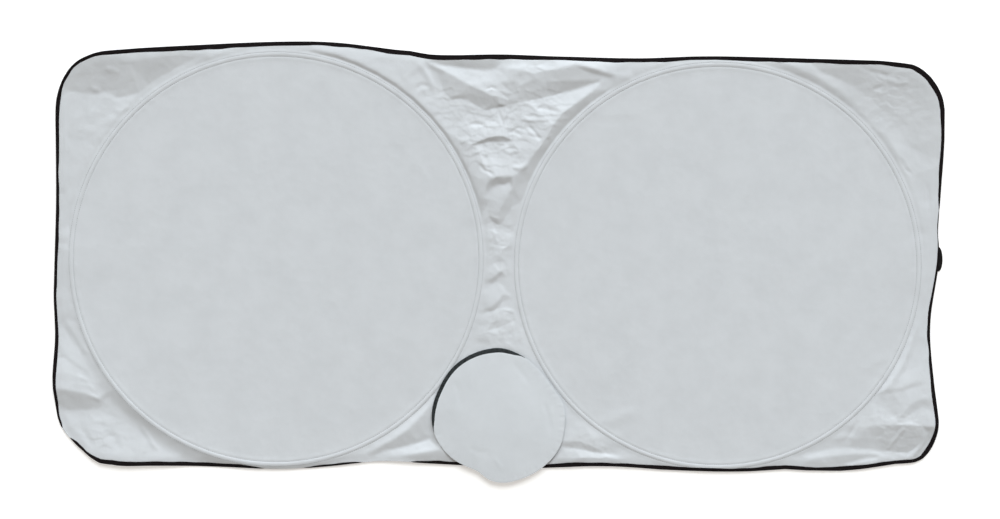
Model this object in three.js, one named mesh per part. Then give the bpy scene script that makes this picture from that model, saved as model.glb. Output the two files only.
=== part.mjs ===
// Windscreen sunshade: one sheet of silver-coated cloth with a black bound edge, held
// open by two sprung wire rings, each in a casing tape sewn under the sheet. A short
// elastic loop hangs from the right-hand edge, and an empty round storage pouch lies on
// the lower middle. Millimetres, +Z up, lying on the ground with its silver face up.
import * as THREE from "three";

// Cloth, tape and clearances. The cloth is drawn thicker than the real 0.2 mm.
const CLOTH = 1.0;
const TAPE = 0.8;
const GAP = 0.3;

// Sprung wire rings. They are bent by hand, so one comes out a little larger.
const LEFT_RING_RADIUS = 333;
const RIGHT_RING_RADIUS = 327;
const RING_GAP = 57.4; // between the two wires, where the shade folds over
const RING_STEP = 10.8; // how much higher the left ring lies
const WIRE_RADIUS = 1.2;
const FERRULE_WALL = 0.4;
const FERRULE_LENGTH = 40;
const WIRE_END_GAP = 3; // between the wire's two ends, inside the ferrule
const CASING_SEAM = 2.1; // casing tape sewn down on each side of the wire

// Sheet around the rings, and the tape bound over its edge.
const LEFT_MARGIN = 30.3;
const RIGHT_MARGIN = 42.3;
const TOP_MARGIN_LEFT = 19.4;
const TOP_MARGIN_RIGHT = 12.9;
const BINDING_FLANGE = 5;
const HEM = 6; // flat strip of sheet that the binding holds
const SLACK_LIFT = 1.5; // how far the loose sheet stands off the ground
const SLACK_RUN = 15; // distance from a casing over which it rises

// Elastic loop under the right-hand edge.
const LOOP_CHORD = 40;
const LOOP_ABOVE_CENTRE = 10.5; // its middle, measured up from the right ring's centre
const LOOP_BULGE = 8; // how far it shows past the bound edge
const LOOP_WIDTH = 9;
const LOOP_THICKNESS = 1.2;

// Round storage pouch: a flat back, a domed front, and a mouth at the upper left.
const POUCH_RADIUS = 108;
const POUCH_ABOVE_EDGE = 86; // its centre, measured up from the sheet's lower edge
const POUCH_ASIDE = 2; // and to the right of the line between the rings
const POUCH_ROOM = 8.2; // height inside
const POUCH_SHOULDER = 30; // width over which the front rises to it
const POUCH_SEAM = 4;
const MOUTH_START = THREE.MathUtils.degToRad(67);
const MOUTH_END = THREE.MathUtils.degToRad(192);
const MOUTH_LIFT = 6.5; // height of the open lip
const MOUTH_WIDTH = 8.5; // widest strip of tape that shows behind the lip
const MOUTH_FLANGE = 9;

// What follows from those sizes.
const FERRULE_RADIUS = WIRE_RADIUS + GAP + FERRULE_WALL;
const CASING_HALF = FERRULE_RADIUS + CASING_SEAM;
const TUNNEL_HALF = 0.9 * FERRULE_RADIUS;
const SHEET_REST = TAPE + GAP; // underside of the sheet where it lies on its tapes
const WIRE_HEIGHT = SHEET_REST + FERRULE_RADIUS;
const TUNNEL_HEIGHT = WIRE_HEIGHT + FERRULE_RADIUS + GAP;
const BOTTOM_MARGIN = CASING_HALF + BINDING_FLANGE + 2 * GAP;
const POUCH_REST = TUNNEL_HEIGHT + CLOTH + TAPE + 2 * GAP; // its mouth tape goes under it

const ringHalfSpan = (LEFT_RING_RADIUS + RING_GAP + RIGHT_RING_RADIUS) / 2;
const LEFT_RING = {
  centre: new THREE.Vector2(-ringHalfSpan, RING_STEP / 2),
  radius: LEFT_RING_RADIUS,
};
const RIGHT_RING = {
  centre: new THREE.Vector2(ringHalfSpan, -RING_STEP / 2),
  radius: RIGHT_RING_RADIUS,
};

// The four edge lines that the sheet's sides wave about.
const EDGE = {
  left: LEFT_RING.centre.x - LEFT_RING.radius - LEFT_MARGIN,
  right: RIGHT_RING.centre.x + RIGHT_RING.radius + RIGHT_MARGIN,
  topLeft: LEFT_RING.centre.y + LEFT_RING.radius + TOP_MARGIN_LEFT,
  topRight: RIGHT_RING.centre.y + RIGHT_RING.radius + TOP_MARGIN_RIGHT,
  bottomLeft: LEFT_RING.centre.y - LEFT_RING.radius - BOTTOM_MARGIN,
  bottomRight: RIGHT_RING.centre.y - RIGHT_RING.radius - BOTTOM_MARGIN,
};

// How each side waves: [share of the way along, distance outwards].
const TOP_WAVE = [
  [0.059, -15], [0.182, -3.7], [0.272, 1.6], [0.334, 0.6], [0.423, -13.6], [0.505, -9.2],
  [0.569, -9.1], [0.659, -7.2], [0.748, 0], [0.917, -7.2], [0.956, -10.4],
];
const RIGHT_WAVE = [[0.881, -0.7], [0.737, -3], [0.58, -11], [0.506, -10.5], [0.344, -24.5], [0.137, -13]];
const BOTTOM_WAVE = [
  [0.959, -15.9], [0.906, -4.4], [0.845, -1.1], [0.745, 0.1], [0.625, -9.2], [0.535, -3.9],
  [0.429, -10.3], [0.369, -14.2], [0.3, -4.2], [0.251, 0.1], [0.155, -5.1], [0.081, -6.4],
];
const LEFT_WAVE = [[0.119, -6.5], [0.209, 0], [0.329, -3.5], [0.395, -0.5], [0.63, -4.5], [0.827, -4]];

// How full each corner is: 0 is a straight cut, and 0.8 nearly square.
const CORNER = { topRight: 0.56, bottomRight: 0.5, bottomLeft: 0.44, topLeft: 0.66 };

// How finely the shapes are drawn.
const LONG_SIDE_STEPS = 34;
const SHORT_SIDE_STEPS = 15;
const CORNER_STEPS = 6;
const MIDDLE_STEPS = 30;
const SLACK_STEPS = 6;
const RING_STEPS = 96;
const WIRE_SIDES = 6;
const POUCH_STEPS = 60;

const MATERIAL = {
  silverCloth: new THREE.MeshStandardMaterial({ color: 0xc9cdd1, roughness: 0.5, metalness: 0.3 }),
  blackTape: new THREE.MeshStandardMaterial({ color: 0x0b0a0b, roughness: 0.85, metalness: 0 }),
  springSteel: new THREE.MeshStandardMaterial({ color: 0x8d9093, roughness: 0.35, metalness: 1 }),
  pouchCloth: new THREE.MeshStandardMaterial({ color: 0xc7ccd0, roughness: 0.55, metalness: 0.2 }),
  pouchTape: new THREE.MeshStandardMaterial({ color: 0x2c3031, roughness: 0.9, metalness: 0 }),
  elastic: new THREE.MeshStandardMaterial({ color: 0x0a0909, roughness: 0.9, metalness: 0 }),
};

const { clamp, lerp, smoothstep } = THREE.MathUtils;

// Outline of the sheet, anticlockwise seen from above, starting at the top right corner.

// Height of the top or bottom edge line at x: level outside the ring centres, and
// sloping from one to the other between them.
function lineHeight(x, left, right) {
  const span = RIGHT_RING.centre.x - LEFT_RING.centre.x;
  return lerp(left, right, clamp((x - LEFT_RING.centre.x) / span, 0, 1));
}

function topPoint([share, out]) {
  const x = lerp(EDGE.left, EDGE.right, share);
  return new THREE.Vector2(x, lineHeight(x, EDGE.topLeft, EDGE.topRight) + out);
}

function bottomPoint([share, out]) {
  const x = lerp(EDGE.left, EDGE.right, share);
  return new THREE.Vector2(x, lineHeight(x, EDGE.bottomLeft, EDGE.bottomRight) - out);
}

function leftPoint([share, out]) {
  return new THREE.Vector2(EDGE.left - out, lerp(EDGE.bottomLeft, EDGE.topLeft, share));
}

function rightPoint([share, out]) {
  return new THREE.Vector2(EDGE.right + out, lerp(EDGE.bottomRight, EDGE.topRight, share));
}

// The curve that rounds the corner from the end of one side to the start of the next.
function cornerCurve(before, after, fullness) {
  const start = before.getPoint(1);
  const end = after.getPoint(0);
  const reach = (fullness * start.distanceTo(end)) / Math.SQRT2;
  const leaving = before.getTangent(1).multiplyScalar(reach).add(start);
  const arriving = after.getTangent(0).multiplyScalar(-reach).add(end);
  return new THREE.CubicBezierCurve(start, leaving, arriving, end);
}

// The sheet's edge as a closed ring of points, anticlockwise.
function outlinePoints() {
  const top = new THREE.SplineCurve(TOP_WAVE.map(topPoint).reverse());
  const left = new THREE.SplineCurve(LEFT_WAVE.map(leftPoint).reverse());
  const bottom = new THREE.SplineCurve(BOTTOM_WAVE.map(bottomPoint).reverse());
  const right = new THREE.SplineCurve(RIGHT_WAVE.map(rightPoint).reverse());
  const stretches = [
    [top, LONG_SIDE_STEPS],
    [cornerCurve(top, left, CORNER.topLeft), CORNER_STEPS],
    [left, SHORT_SIDE_STEPS],
    [cornerCurve(left, bottom, CORNER.bottomLeft), CORNER_STEPS],
    [bottom, LONG_SIDE_STEPS],
    [cornerCurve(bottom, right, CORNER.bottomRight), CORNER_STEPS],
    [right, SHORT_SIDE_STEPS],
    [cornerCurve(right, top, CORNER.topRight), CORNER_STEPS],
  ];
  return stretches.flatMap(([curve, steps]) => curve.getSpacedPoints(steps).slice(0, -1));
}

// Unit vectors that point into the shape at each point of an anticlockwise outline.
function inwardNormals(points, closed = true) {
  const last = points.length - 1;
  return points.map((point, i) => {
    const before = points[i > 0 ? i - 1 : closed ? last : 0];
    const after = points[i < last ? i + 1 : closed ? 0 : last];
    const along = after.clone().sub(before).normalize();
    return new THREE.Vector2(-along.y, along.x);
  });
}

// Folds in the loose sheet. Each is a straight crease, high or low along its line and
// falling away to nothing at `left` and `right` of it, looking along it.

const outline = outlinePoints();
const inward = inwardNormals(outline);

function nearestIndex(y) {
  const target = new THREE.Vector2(0, y);
  const distances = outline.map((point) => point.distanceTo(target));
  return distances.indexOf(Math.min(...distances));
}

const topMiddle = nearestIndex((EDGE.topLeft + EDGE.topRight) / 2);
const bottomMiddle = nearestIndex((EDGE.bottomLeft + EDGE.bottomRight) / 2);

const FOLD_GROUPS = [
  {
    origin: outline[topMiddle],
    folds: [
      { from: [-112, -14], to: [2, -80], height: 9, left: 34, right: 24 },
      { from: [12, -82], to: [170, -42], height: -6, left: 24, right: 30 },
      { from: [50, -32], to: [165, -24], height: 6, left: 16, right: 24 },
      { from: [8, -34], to: [2, -82], height: 5, left: 14, right: 14 },
      { from: [-50, -150], to: [28, -136], height: 6, left: 26, right: 16 },
      { from: [-18, -202], to: [34, -198], height: 6, left: 34, right: 18 },
      { from: [36, -196], to: [128, -96], height: 8, left: 30, right: 16 },
      { from: [-2, -205], to: [-6, -330], height: 5, left: 12, right: 10 },
      { from: [4, -330], to: [-10, -470], height: 5, left: 10, right: 12 },
    ],
  },
  {
    origin: outline[bottomMiddle],
    folds: [
      { from: [-190, 14], to: [-100, 44], height: 6, left: 22, right: 18 },
      { from: [104, 42], to: [196, 18], height: 6, left: 18, right: 16 },
    ],
  },
  {
    origin: new THREE.Vector2(EDGE.left, EDGE.topLeft),
    folds: [
      { from: [20, -70], to: [78, -92], height: 7, left: 26, right: 26 },
      { from: [60, -34], to: [150, -20], height: 5, left: 18, right: 22 },
    ],
  },
  {
    origin: new THREE.Vector2(EDGE.left, EDGE.bottomLeft),
    folds: [
      { from: [12, 96], to: [84, 100], height: -5, left: 22, right: 24 },
      { from: [14, 124], to: [70, 112], height: 8, left: 26, right: 22 },
      { from: [50, 30], to: [112, 36], height: 7, left: 24, right: 20 },
    ],
  },
  {
    origin: new THREE.Vector2(EDGE.right, EDGE.bottomRight),
    folds: [
      { from: [-100, 78], to: [-16, 78], height: 8, left: 30, right: 26 },
      { from: [-78, 132], to: [-24, 150], height: 6, left: 24, right: 18 },
      { from: [-196, 20], to: [-112, 34], height: 6, left: 18, right: 14 },
      { from: [-60, 30], to: [-34, 56], height: 6, left: 16, right: 16 },
    ],
  },
  {
    origin: new THREE.Vector2(EDGE.right, EDGE.topRight),
    folds: [
      { from: [-100, -24], to: [-34, -66], height: 6, left: 22, right: 26 },
      { from: [-46, -74], to: [-26, -136], height: 6, left: 14, right: 16 },
    ],
  },
];
const FOLD_TAPER = 0.35; // share of a fold's length over which each end dies away

const folds = FOLD_GROUPS.flatMap(({ origin, folds: group }) =>
  group.map((fold) => ({
    ...fold,
    start: new THREE.Vector2(...fold.from).add(origin),
    run: new THREE.Vector2(...fold.to).sub(new THREE.Vector2(...fold.from)),
  })),
);

function foldHeight({ start, run, height, left, right }, point) {
  const offset = point.clone().sub(start);
  const share = offset.dot(run) / run.lengthSq();
  const aside = run.cross(offset) / run.length();
  const across = 1 - Math.abs(aside) / (aside > 0 ? left : right);
  if (share <= 0 || share >= 1 || across <= 0) return 0;
  return height * across * smoothstep(Math.min(share, 1 - share), 0, FOLD_TAPER);
}

const pouchCentre = new THREE.Vector2(POUCH_ASIDE, outline[bottomMiddle].y + POUCH_ABOVE_EDGE);

// Distance from a point to the outer edge of the nearer casing tape.
function clearOfCasing(point) {
  return Math.min(
    ...[LEFT_RING, RIGHT_RING].map((ring) => point.distanceTo(ring.centre) - ring.radius - CASING_HALF),
  );
}

// Height of the sheet's underside at a point outside the rings.
function slackHeight(point) {
  const clear = clearOfCasing(point);
  const rise = smoothstep(clear, 0, SLACK_RUN);
  const pouchDistance = point.distanceTo(pouchCentre) - POUCH_RADIUS;
  const free = smoothstep(pouchDistance, 0, 2 * SLACK_RUN);
  const folded = folds.reduce((sum, fold) => sum + foldHeight(fold, point), 0);
  return SHEET_REST + rise * (SLACK_LIFT + Math.max(0, folded * free));
}

// Building blocks.

function geometryOf(positions, triangles) {
  const geometry = new THREE.BufferGeometry();
  geometry.setAttribute("position", new THREE.Float32BufferAttribute(positions.flat(), 3));
  geometry.setIndex(triangles.flat());
  geometry.computeVertexNormals();
  return geometry;
}

// Two triangles for the strip of surface between neighbouring rows a-b and c-d.
function quad(a, b, c, d) {
  return [[a, b, d], [a, d, c]];
}

// A sheet of even thickness: its underside passes through `points`, and `rim` lists the
// points of its edge, anticlockwise.
function thickSheet(points, triangles, rim, thickness) {
  const count = points.length;
  const upper = points.map(([x, y, z]) => [x, y, z + thickness]);
  const lower = triangles.map(([a, b, c]) => [a + count, c + count, b + count]);
  const walls = rim.flatMap((index, i) => {
    const next = rim[(i + 1) % rim.length];
    return quad(index + count, next + count, index, next);
  });
  return geometryOf([...upper, ...points], [...triangles, ...lower, ...walls]);
}

// A section of [distance inwards, height] pairs carried along an anticlockwise edge.
function edgeSweep(edge, normals, section, closed) {
  const sides = section.length;
  const positions = edge.flatMap(([x, y, z], i) =>
    section.map(([depth, rise]) => [x + normals[i].x * depth, y + normals[i].y * depth, z + rise]),
  );
  const triangles = [];
  const lengths = closed ? edge.length : edge.length - 1;
  for (let i = 0; i < lengths; i++) {
    const next = (i + 1) % edge.length;
    for (let j = 0; j < sides; j++) {
      const up = (j + 1) % sides;
      triangles.push(...quad(i * sides + j, next * sides + j, i * sides + up, next * sides + up));
    }
  }
  if (!closed) {
    const contour = section.map(([depth, rise]) => new THREE.Vector2(depth, rise));
    const end = (edge.length - 1) * sides;
    for (const [a, b, c] of THREE.ShapeUtils.triangulateShape(contour, [])) {
      triangles.push([a, c, b], [end + a, end + b, end + c]);
    }
  }
  return geometryOf(positions, triangles);
}

// Section of a tape folded over an edge, its slot clear of the cloth on every side.
function foldedTape(flange) {
  const slotTop = CLOTH + GAP;
  return [
    [-GAP - TAPE, -GAP - TAPE],
    [flange, -GAP - TAPE],
    [flange, -GAP],
    [-GAP, -GAP],
    [-GAP, slotTop],
    [flange, slotTop],
    [flange, slotTop + TAPE],
    [-GAP - TAPE, slotTop + TAPE],
  ].reverse();
}

// The sheet.

// Distances from a ring's centre at which the sheet bends over its wire.
function tunnelStations({ radius }) {
  return [
    [radius / 2, SHEET_REST],
    [radius - CASING_HALF, SHEET_REST],
    [radius - TUNNEL_HALF, TUNNEL_HEIGHT],
    [radius + TUNNEL_HALF, TUNNEL_HEIGHT],
    [radius + CASING_HALF, SHEET_REST],
  ];
}

// Rows of points on one half of the sheet, each row running round the ring's centre,
// from the first row inside the ring out to the half's own boundary.
function halfRows(ring, boundary, hemline) {
  const tunnel = tunnelStations(ring).map(([distance, z]) =>
    boundary.map((point) => {
      const direction = point.clone().sub(ring.centre).normalize();
      const place = direction.multiplyScalar(distance).add(ring.centre);
      return [place.x, place.y, z];
    }),
  );
  const foot = tunnel.at(-1);
  const slack = [];
  for (let step = 1; step <= SLACK_STEPS; step++) {
    slack.push(
      boundary.map((_, i) => {
        const start = new THREE.Vector2(foot[i][0], foot[i][1]);
        const place = start.lerp(hemline[i], step / SLACK_STEPS);
        return [place.x, place.y, slackHeight(place)];
      }),
    );
  }
  return [...tunnel, ...slack];
}

function sheetGeometry() {
  const hem = outline.map((point, i) => inward[i].clone().multiplyScalar(HEM).add(point));
  const middle = [];
  for (let step = 1; step < MIDDLE_STEPS; step++) {
    middle.push(hem[topMiddle].clone().lerp(hem[bottomMiddle], step / MIDDLE_STEPS));
  }
  const count = outline.length;
  const between = (from, to) => {
    const steps = (to - from + count) % count;
    return Array.from({ length: steps + 1 }, (_, i) => (from + i) % count);
  };
  const points = [];
  const triangles = [];
  const place = (key, point) => {
    if (!placed.has(key)) placed.set(key, points.push(point) - 1);
    return placed.get(key);
  };
  const placed = new Map();
  const addHalf = (side, ring, edgeIndices, middleOrder) => {
    const boundary = [...edgeIndices.map((i) => hem[i]), ...middleOrder.map((i) => middle[i])];
    const keys = [...edgeIndices.map((i) => "hem" + i), ...middleOrder.map((i) => "middle" + i)];
    const rows = halfRows(ring, boundary, boundary).map((row, level, all) =>
      row.map((point, i) => place(level === all.length - 1 ? keys[i] : `${side}${level}-${i}`, point)),
    );
    const centre = place(side + "centre", [ring.centre.x, ring.centre.y, SHEET_REST]);
    const around = boundary.length;
    for (let i = 0; i < around; i++) {
      const next = (i + 1) % around;
      triangles.push([centre, rows[0][i], rows[0][next]]);
      for (let level = 1; level < rows.length; level++) {
        triangles.push(...quad(rows[level - 1][next], rows[level - 1][i], rows[level][next], rows[level][i]));
      }
    }
  };
  const downTheMiddle = middle.map((_, i) => i);
  addHalf("left", LEFT_RING, between(topMiddle, bottomMiddle), [...downTheMiddle].reverse());
  addHalf("right", RIGHT_RING, between(bottomMiddle, topMiddle), downTheMiddle);
  const hemIndex = outline.map((_, i) => placed.get("hem" + i));
  const rim = outline.map((point, i) => points.push([point.x, point.y, points[hemIndex[i]][2]]) - 1);
  for (let i = 0; i < count; i++) {
    const next = (i + 1) % count;
    triangles.push(...quad(hemIndex[next], hemIndex[i], rim[next], rim[i]));
  }
  return { geometry: thickSheet(points, triangles, rim, CLOTH), edge: rim.map((index) => points[index]) };
}

// Rings.

function ringArc(ring, from, to) {
  const arc = new THREE.Curve();
  arc.getPoint = (t, target = new THREE.Vector3()) => {
    const angle = lerp(from, to, t);
    const { centre, radius } = ring;
    return target.set(centre.x + radius * Math.cos(angle), centre.y + radius * Math.sin(angle), WIRE_HEIGHT);
  };
  return arc;
}

function roundSection(radius) {
  const corners = Array.from({ length: WIRE_SIDES }, (_, i) => (i / WIRE_SIDES) * 2 * Math.PI);
  return corners.map((angle) => new THREE.Vector2(radius * Math.cos(angle), radius * Math.sin(angle)));
}

function wireGeometry(ring, joint) {
  const half = WIRE_END_GAP / 2 / ring.radius;
  return new THREE.ExtrudeGeometry(new THREE.Shape(roundSection(WIRE_RADIUS)), {
    steps: RING_STEPS,
    extrudePath: ringArc(ring, joint + half, joint + 2 * Math.PI - half),
  });
}

// A short crimped tube over both ends of the wire.
function ferruleGeometry(ring, joint) {
  const half = FERRULE_LENGTH / 2 / ring.radius;
  const section = new THREE.Shape(roundSection(FERRULE_RADIUS));
  section.holes.push(new THREE.Path(roundSection(WIRE_RADIUS + GAP)));
  return new THREE.ExtrudeGeometry(section, {
    steps: 4,
    extrudePath: ringArc(ring, joint - half, joint + half),
  });
}

function casingGeometry({ centre, radius }) {
  const tape = new THREE.Shape().absarc(centre.x, centre.y, radius + CASING_HALF, 0, 2 * Math.PI);
  tape.holes.push(new THREE.Path().absarc(centre.x, centre.y, radius - CASING_HALF, 0, 2 * Math.PI, true));
  return new THREE.ExtrudeGeometry(tape, { depth: TAPE, bevelEnabled: false, curveSegments: RING_STEPS / 2 });
}

// Elastic loop: a flat strip sewn under the bound edge at both ends, bowed outwards.

function loopGeometry(edgeX, centreY) {
  const half = LOOP_CHORD / 2;
  const boundEdge = edgeX + GAP + TAPE;
  const sewn = boundEdge - LOOP_WIDTH;
  const strip = new THREE.Shape();
  strip.moveTo(sewn, centreY - half);
  strip.lineTo(boundEdge, centreY - half);
  strip.quadraticCurveTo(boundEdge + 2 * LOOP_BULGE, centreY, boundEdge, centreY + half);
  strip.lineTo(sewn, centreY + half);
  return new THREE.ExtrudeGeometry(strip, { depth: LOOP_THICKNESS, bevelEnabled: false, curveSegments: 12 });
}

// Pouch.

// Distance from the pouch's centre to its edge: a circle that has slumped inwards at
// the upper right and lower left.
function pouchRadius(angle) {
  const dent = (middle, width) => {
    const away = Math.atan2(Math.sin(angle - middle), Math.cos(angle - middle));
    return Math.exp(-((away / width) ** 2));
  };
  return POUCH_RADIUS * (1 - 0.08 * dent(0.7, 0.4) - 0.11 * dent(4.31, 0.28) + 0.03 * dent(5.6, 0.5));
}

// From 0 at either end of the mouth to 1 along most of it.
function mouthShare(angle) {
  if (angle <= MOUTH_START || angle >= MOUTH_END) return 0;
  const share = (angle - MOUTH_START) / (MOUTH_END - MOUTH_START);
  return Math.min(1, 2.2 * Math.sin(share * Math.PI));
}

// Width of the strip of tape that shows behind the lip, widest near the top.
function tapeShows(angle) {
  const share = (angle - MOUTH_START) / (MOUTH_END - MOUTH_START);
  return MOUTH_WIDTH * mouthShare(angle) * lerp(1.1, 0.4, clamp(share, 0, 1));
}

const pouchAngles = Array.from({ length: POUCH_STEPS }, (_, i) => (i / POUCH_STEPS) * 2 * Math.PI);

// A round sheet: rows of points at given distances in from its edge, then its centre.
function roundSheet(edgeDistance, rows, centreHeight) {
  const points = rows.flatMap(([inset, height]) =>
    pouchAngles.map((angle) => {
      const distance = edgeDistance(angle) - inset;
      return [
        pouchCentre.x + distance * Math.cos(angle),
        pouchCentre.y + distance * Math.sin(angle),
        height(angle),
      ];
    }),
  );
  const centre = points.push([pouchCentre.x, pouchCentre.y, centreHeight]) - 1;
  const triangles = [];
  const around = pouchAngles.length;
  for (let i = 0; i < around; i++) {
    const next = (i + 1) % around;
    for (let row = 1; row < rows.length; row++) {
      const outer = (row - 1) * around;
      const inner = row * around;
      triangles.push(...quad(inner + next, inner + i, outer + next, outer + i));
    }
    const last = (rows.length - 1) * around;
    triangles.push([centre, last + i, last + next]);
  }
  return thickSheet(points, triangles, pouchAngles.map((_, i) => i), CLOTH);
}

function pouchBackGeometry() {
  return roundSheet(pouchRadius, [[0, () => POUCH_REST]], POUCH_REST);
}

function pouchFrontGeometry() {
  const seam = POUCH_REST + CLOTH + GAP;
  const lip = (angle) => seam + MOUTH_LIFT * mouthShare(angle);
  const shoulder = (rise) => (angle) => lerp(lip(angle), seam + POUCH_ROOM, rise);
  const edge = (angle) => pouchRadius(angle) - tapeShows(angle);
  const rows = [
    [0, lip],
    [POUCH_SEAM, lip],
    [POUCH_SHOULDER / 2, shoulder(0.7)],
    [POUCH_SHOULDER, shoulder(1)],
  ];
  return roundSheet(edge, rows, seam + POUCH_ROOM);
}

// Tape bound over the mouth's back edge.
function mouthBindingGeometry() {
  const clearOfLip = (angle) => MOUTH_LIFT * mouthShare(angle) > TAPE + 2 * GAP;
  const angles = pouchAngles.filter(clearOfLip);
  const edge = angles.map((angle) => {
    const distance = pouchRadius(angle);
    return new THREE.Vector2(Math.cos(angle), Math.sin(angle)).multiplyScalar(distance).add(pouchCentre);
  });
  const rim = edge.map(({ x, y }) => [x, y, POUCH_REST]);
  return edgeSweep(rim, inwardNormals(edge, false), foldedTape(MOUTH_FLANGE), false);
}

// Assembly.

function addMesh(group, name, geometry, material) {
  const mesh = new THREE.Mesh(geometry, material);
  mesh.name = name;
  group.add(mesh);
  return mesh;
}

const shade = new THREE.Group();
const { geometry: sheet, edge: sheetEdge } = sheetGeometry();
addMesh(shade, "shade_panel", sheet, MATERIAL.silverCloth);
addMesh(
  shade,
  "edge_binding",
  edgeSweep(sheetEdge, inward, foldedTape(BINDING_FLANGE), true),
  MATERIAL.blackTape,
);

for (const [side, ring, joint] of [["left", LEFT_RING, Math.PI], ["right", RIGHT_RING, 0]]) {
  addMesh(shade, `${side}_ring_wire`, wireGeometry(ring, joint), MATERIAL.springSteel);
  addMesh(shade, `${side}_ring_ferrule`, ferruleGeometry(ring, joint), MATERIAL.springSteel);
  addMesh(shade, `${side}_ring_casing`, casingGeometry(ring), MATERIAL.silverCloth);
}

const loopY = RIGHT_RING.centre.y + LOOP_ABOVE_CENTRE;
const loopEdge = sheetEdge.filter(([x, y]) => x > 0 && Math.abs(y - loopY) < LOOP_CHORD);
const loopX = Math.min(...loopEdge.map(([x]) => x));
addMesh(shade, "elastic_loop", loopGeometry(loopX, loopY), MATERIAL.elastic);

addMesh(shade, "pouch_back", pouchBackGeometry(), MATERIAL.pouchCloth);
addMesh(shade, "pouch_front", pouchFrontGeometry(), MATERIAL.pouchCloth);
addMesh(shade, "pouch_mouth_binding", mouthBindingGeometry(), MATERIAL.pouchTape);

// The part's origin is the middle of its outline, on the ground.
const box = new THREE.Box3().setFromObject(shade);
const middleOfBox = box.getCenter(new THREE.Vector3());
shade.position.set(-middleOfBox.x, -middleOfBox.y, -box.min.z);

const part = new THREE.Group();
part.add(shade);

export default part;
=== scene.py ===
import math

import bpy
import numpy as np
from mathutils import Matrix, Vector
from mathutils.geometry import delaunay_2d_cdt


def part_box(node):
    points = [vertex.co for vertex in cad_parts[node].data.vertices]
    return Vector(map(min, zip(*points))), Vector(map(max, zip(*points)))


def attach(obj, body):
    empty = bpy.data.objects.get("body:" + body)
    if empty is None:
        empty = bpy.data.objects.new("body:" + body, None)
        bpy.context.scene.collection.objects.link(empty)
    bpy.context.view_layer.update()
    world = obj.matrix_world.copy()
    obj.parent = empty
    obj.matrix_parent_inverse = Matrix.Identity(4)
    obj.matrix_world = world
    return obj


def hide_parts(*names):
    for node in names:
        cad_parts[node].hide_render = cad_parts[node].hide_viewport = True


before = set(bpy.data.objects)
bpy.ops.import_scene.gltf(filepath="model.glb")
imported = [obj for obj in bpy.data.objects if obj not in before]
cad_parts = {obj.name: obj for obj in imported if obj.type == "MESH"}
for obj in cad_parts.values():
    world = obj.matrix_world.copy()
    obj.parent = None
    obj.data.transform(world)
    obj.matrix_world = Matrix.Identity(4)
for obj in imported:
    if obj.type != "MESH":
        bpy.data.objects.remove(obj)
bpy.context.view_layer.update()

# Lengths are millimetres until a mesh is made. The origin and axes are the CAD's.
METRE = 0.001

# Photograph: how large a pixel is on the shade, and the camera that hangs over it.
MM_PER_PIXEL = 1.6274
PIXEL_OF_ORIGIN = (498.5, 261.0)
PHOTO_SIZE = (1000, 519)
CAMERA_HEIGHT = 3840
CAMERA_LENS = 85
CAMERA_SENSOR = 36
CAMERA_REACH = 100

# Light: one broad soft lamp far off beyond the shade's upper edge, and a weak warm fill.
KEY_STRENGTH = 4.52
KEY_COLOUR = (0.892, 0.957, 1.0)
KEY_ELEVATION = math.radians(28)
KEY_TURN = math.radians(7)
KEY_SPREAD = math.radians(64)
WORLD_STRENGTH = 0.34
WORLD_COLOUR = (1.0, 0.885, 0.74, 1)
WHITE = (1, 1, 1, 1)
FLOOR_COLOUR = (0.85, 0.85, 0.85)
FLOOR_ROUGHNESS = 0.9
FLOOR_GLOW = 0.4
FLOOR_SIZE = 9000
FLOOR_DROP = 0.3

# Sheet: spacing of its points along the edge, inwards from it, beside the rings' wires
# and over the rest, half a casing's width, how far a row of stitching lies from its wire,
# where the loose sheet begins, and how close two points may be before they are merged.
EDGE_STEP = 2.5
EDGE_ROWS = (1.0, 2.2, 3.6, 5.2, 7.0, 9.4)
CASING_HALF = 4.0
SEAM_OFFSET = 3.6
LOOSE_OFFSET = 12
RING_ROWS = (0.9, 1.8, 2.7, 3.6, 4.6, 6.2, 8.2, 10.4, 13.0)
RING_COLUMNS = 560
SEAM_COLUMNS = 1200
FINE_STEP = 1.9
LOOSE_STEP = 3.2
DISC_STEP = 8.0
MERGE_WITHIN = 1e-5

# Binding tape: its width on the back, its thickness over the cloth, how far the cloth
# beneath it is pressed down, how far it wraps past the edge, and how deep it lies in the
# cloth where the edge has rolled under.
TAPE_WIDTH = 7.5
TAPE_LIFT = 0.42
TAPE_BED = 0.7
TAPE_OUT = 0.5
TAPE_SUNK = 0.3

# Pouch: how far its front rises and over what distance, and where its mouth is.
POUCH_CENTRE = (-0.8, -250.6)
POUCH_BACK_HEIGHT = 7.9
POUCH_SEAM_GAP = 0.25
POUCH_ROLL = 0.1
POUCH_RISE = 2.4
POUCH_SHOULDER = 80
POUCH_STEP = 3.4
POUCH_ROWS = (0.5, 1.1, 2.0, 3.2, 4.8, 6.8, 9.2)
POUCH_ANGLES = np.linspace(0, 2 * math.pi, 300, endpoint=False)
MOUTH_FROM = math.radians(64)
MOUTH_TO = math.radians(196)
MOUTH_LIFT = 1.6

# Stitches.
STITCH_LENGTH = 2.6
STITCH_PITCH = 3.6
STITCH_RADIUS = 0.24
STITCH_RISE = 0.12
STITCH_SIDES = 5


def at(px, py):
    """Place on the ground, in millimetres, of a point of the photograph."""
    return (
        (px - PIXEL_OF_ORIGIN[0]) * MM_PER_PIXEL,
        (PIXEL_OF_ORIGIN[1] - py) * MM_PER_PIXEL,
    )


def smooth(value, low, high):
    """0 below low, 1 above high and a smooth rise between them."""
    share = np.clip((value - low) / (high - low), 0, 1)
    return share * share * (3 - 2 * share)


# Random-looking fields


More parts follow.
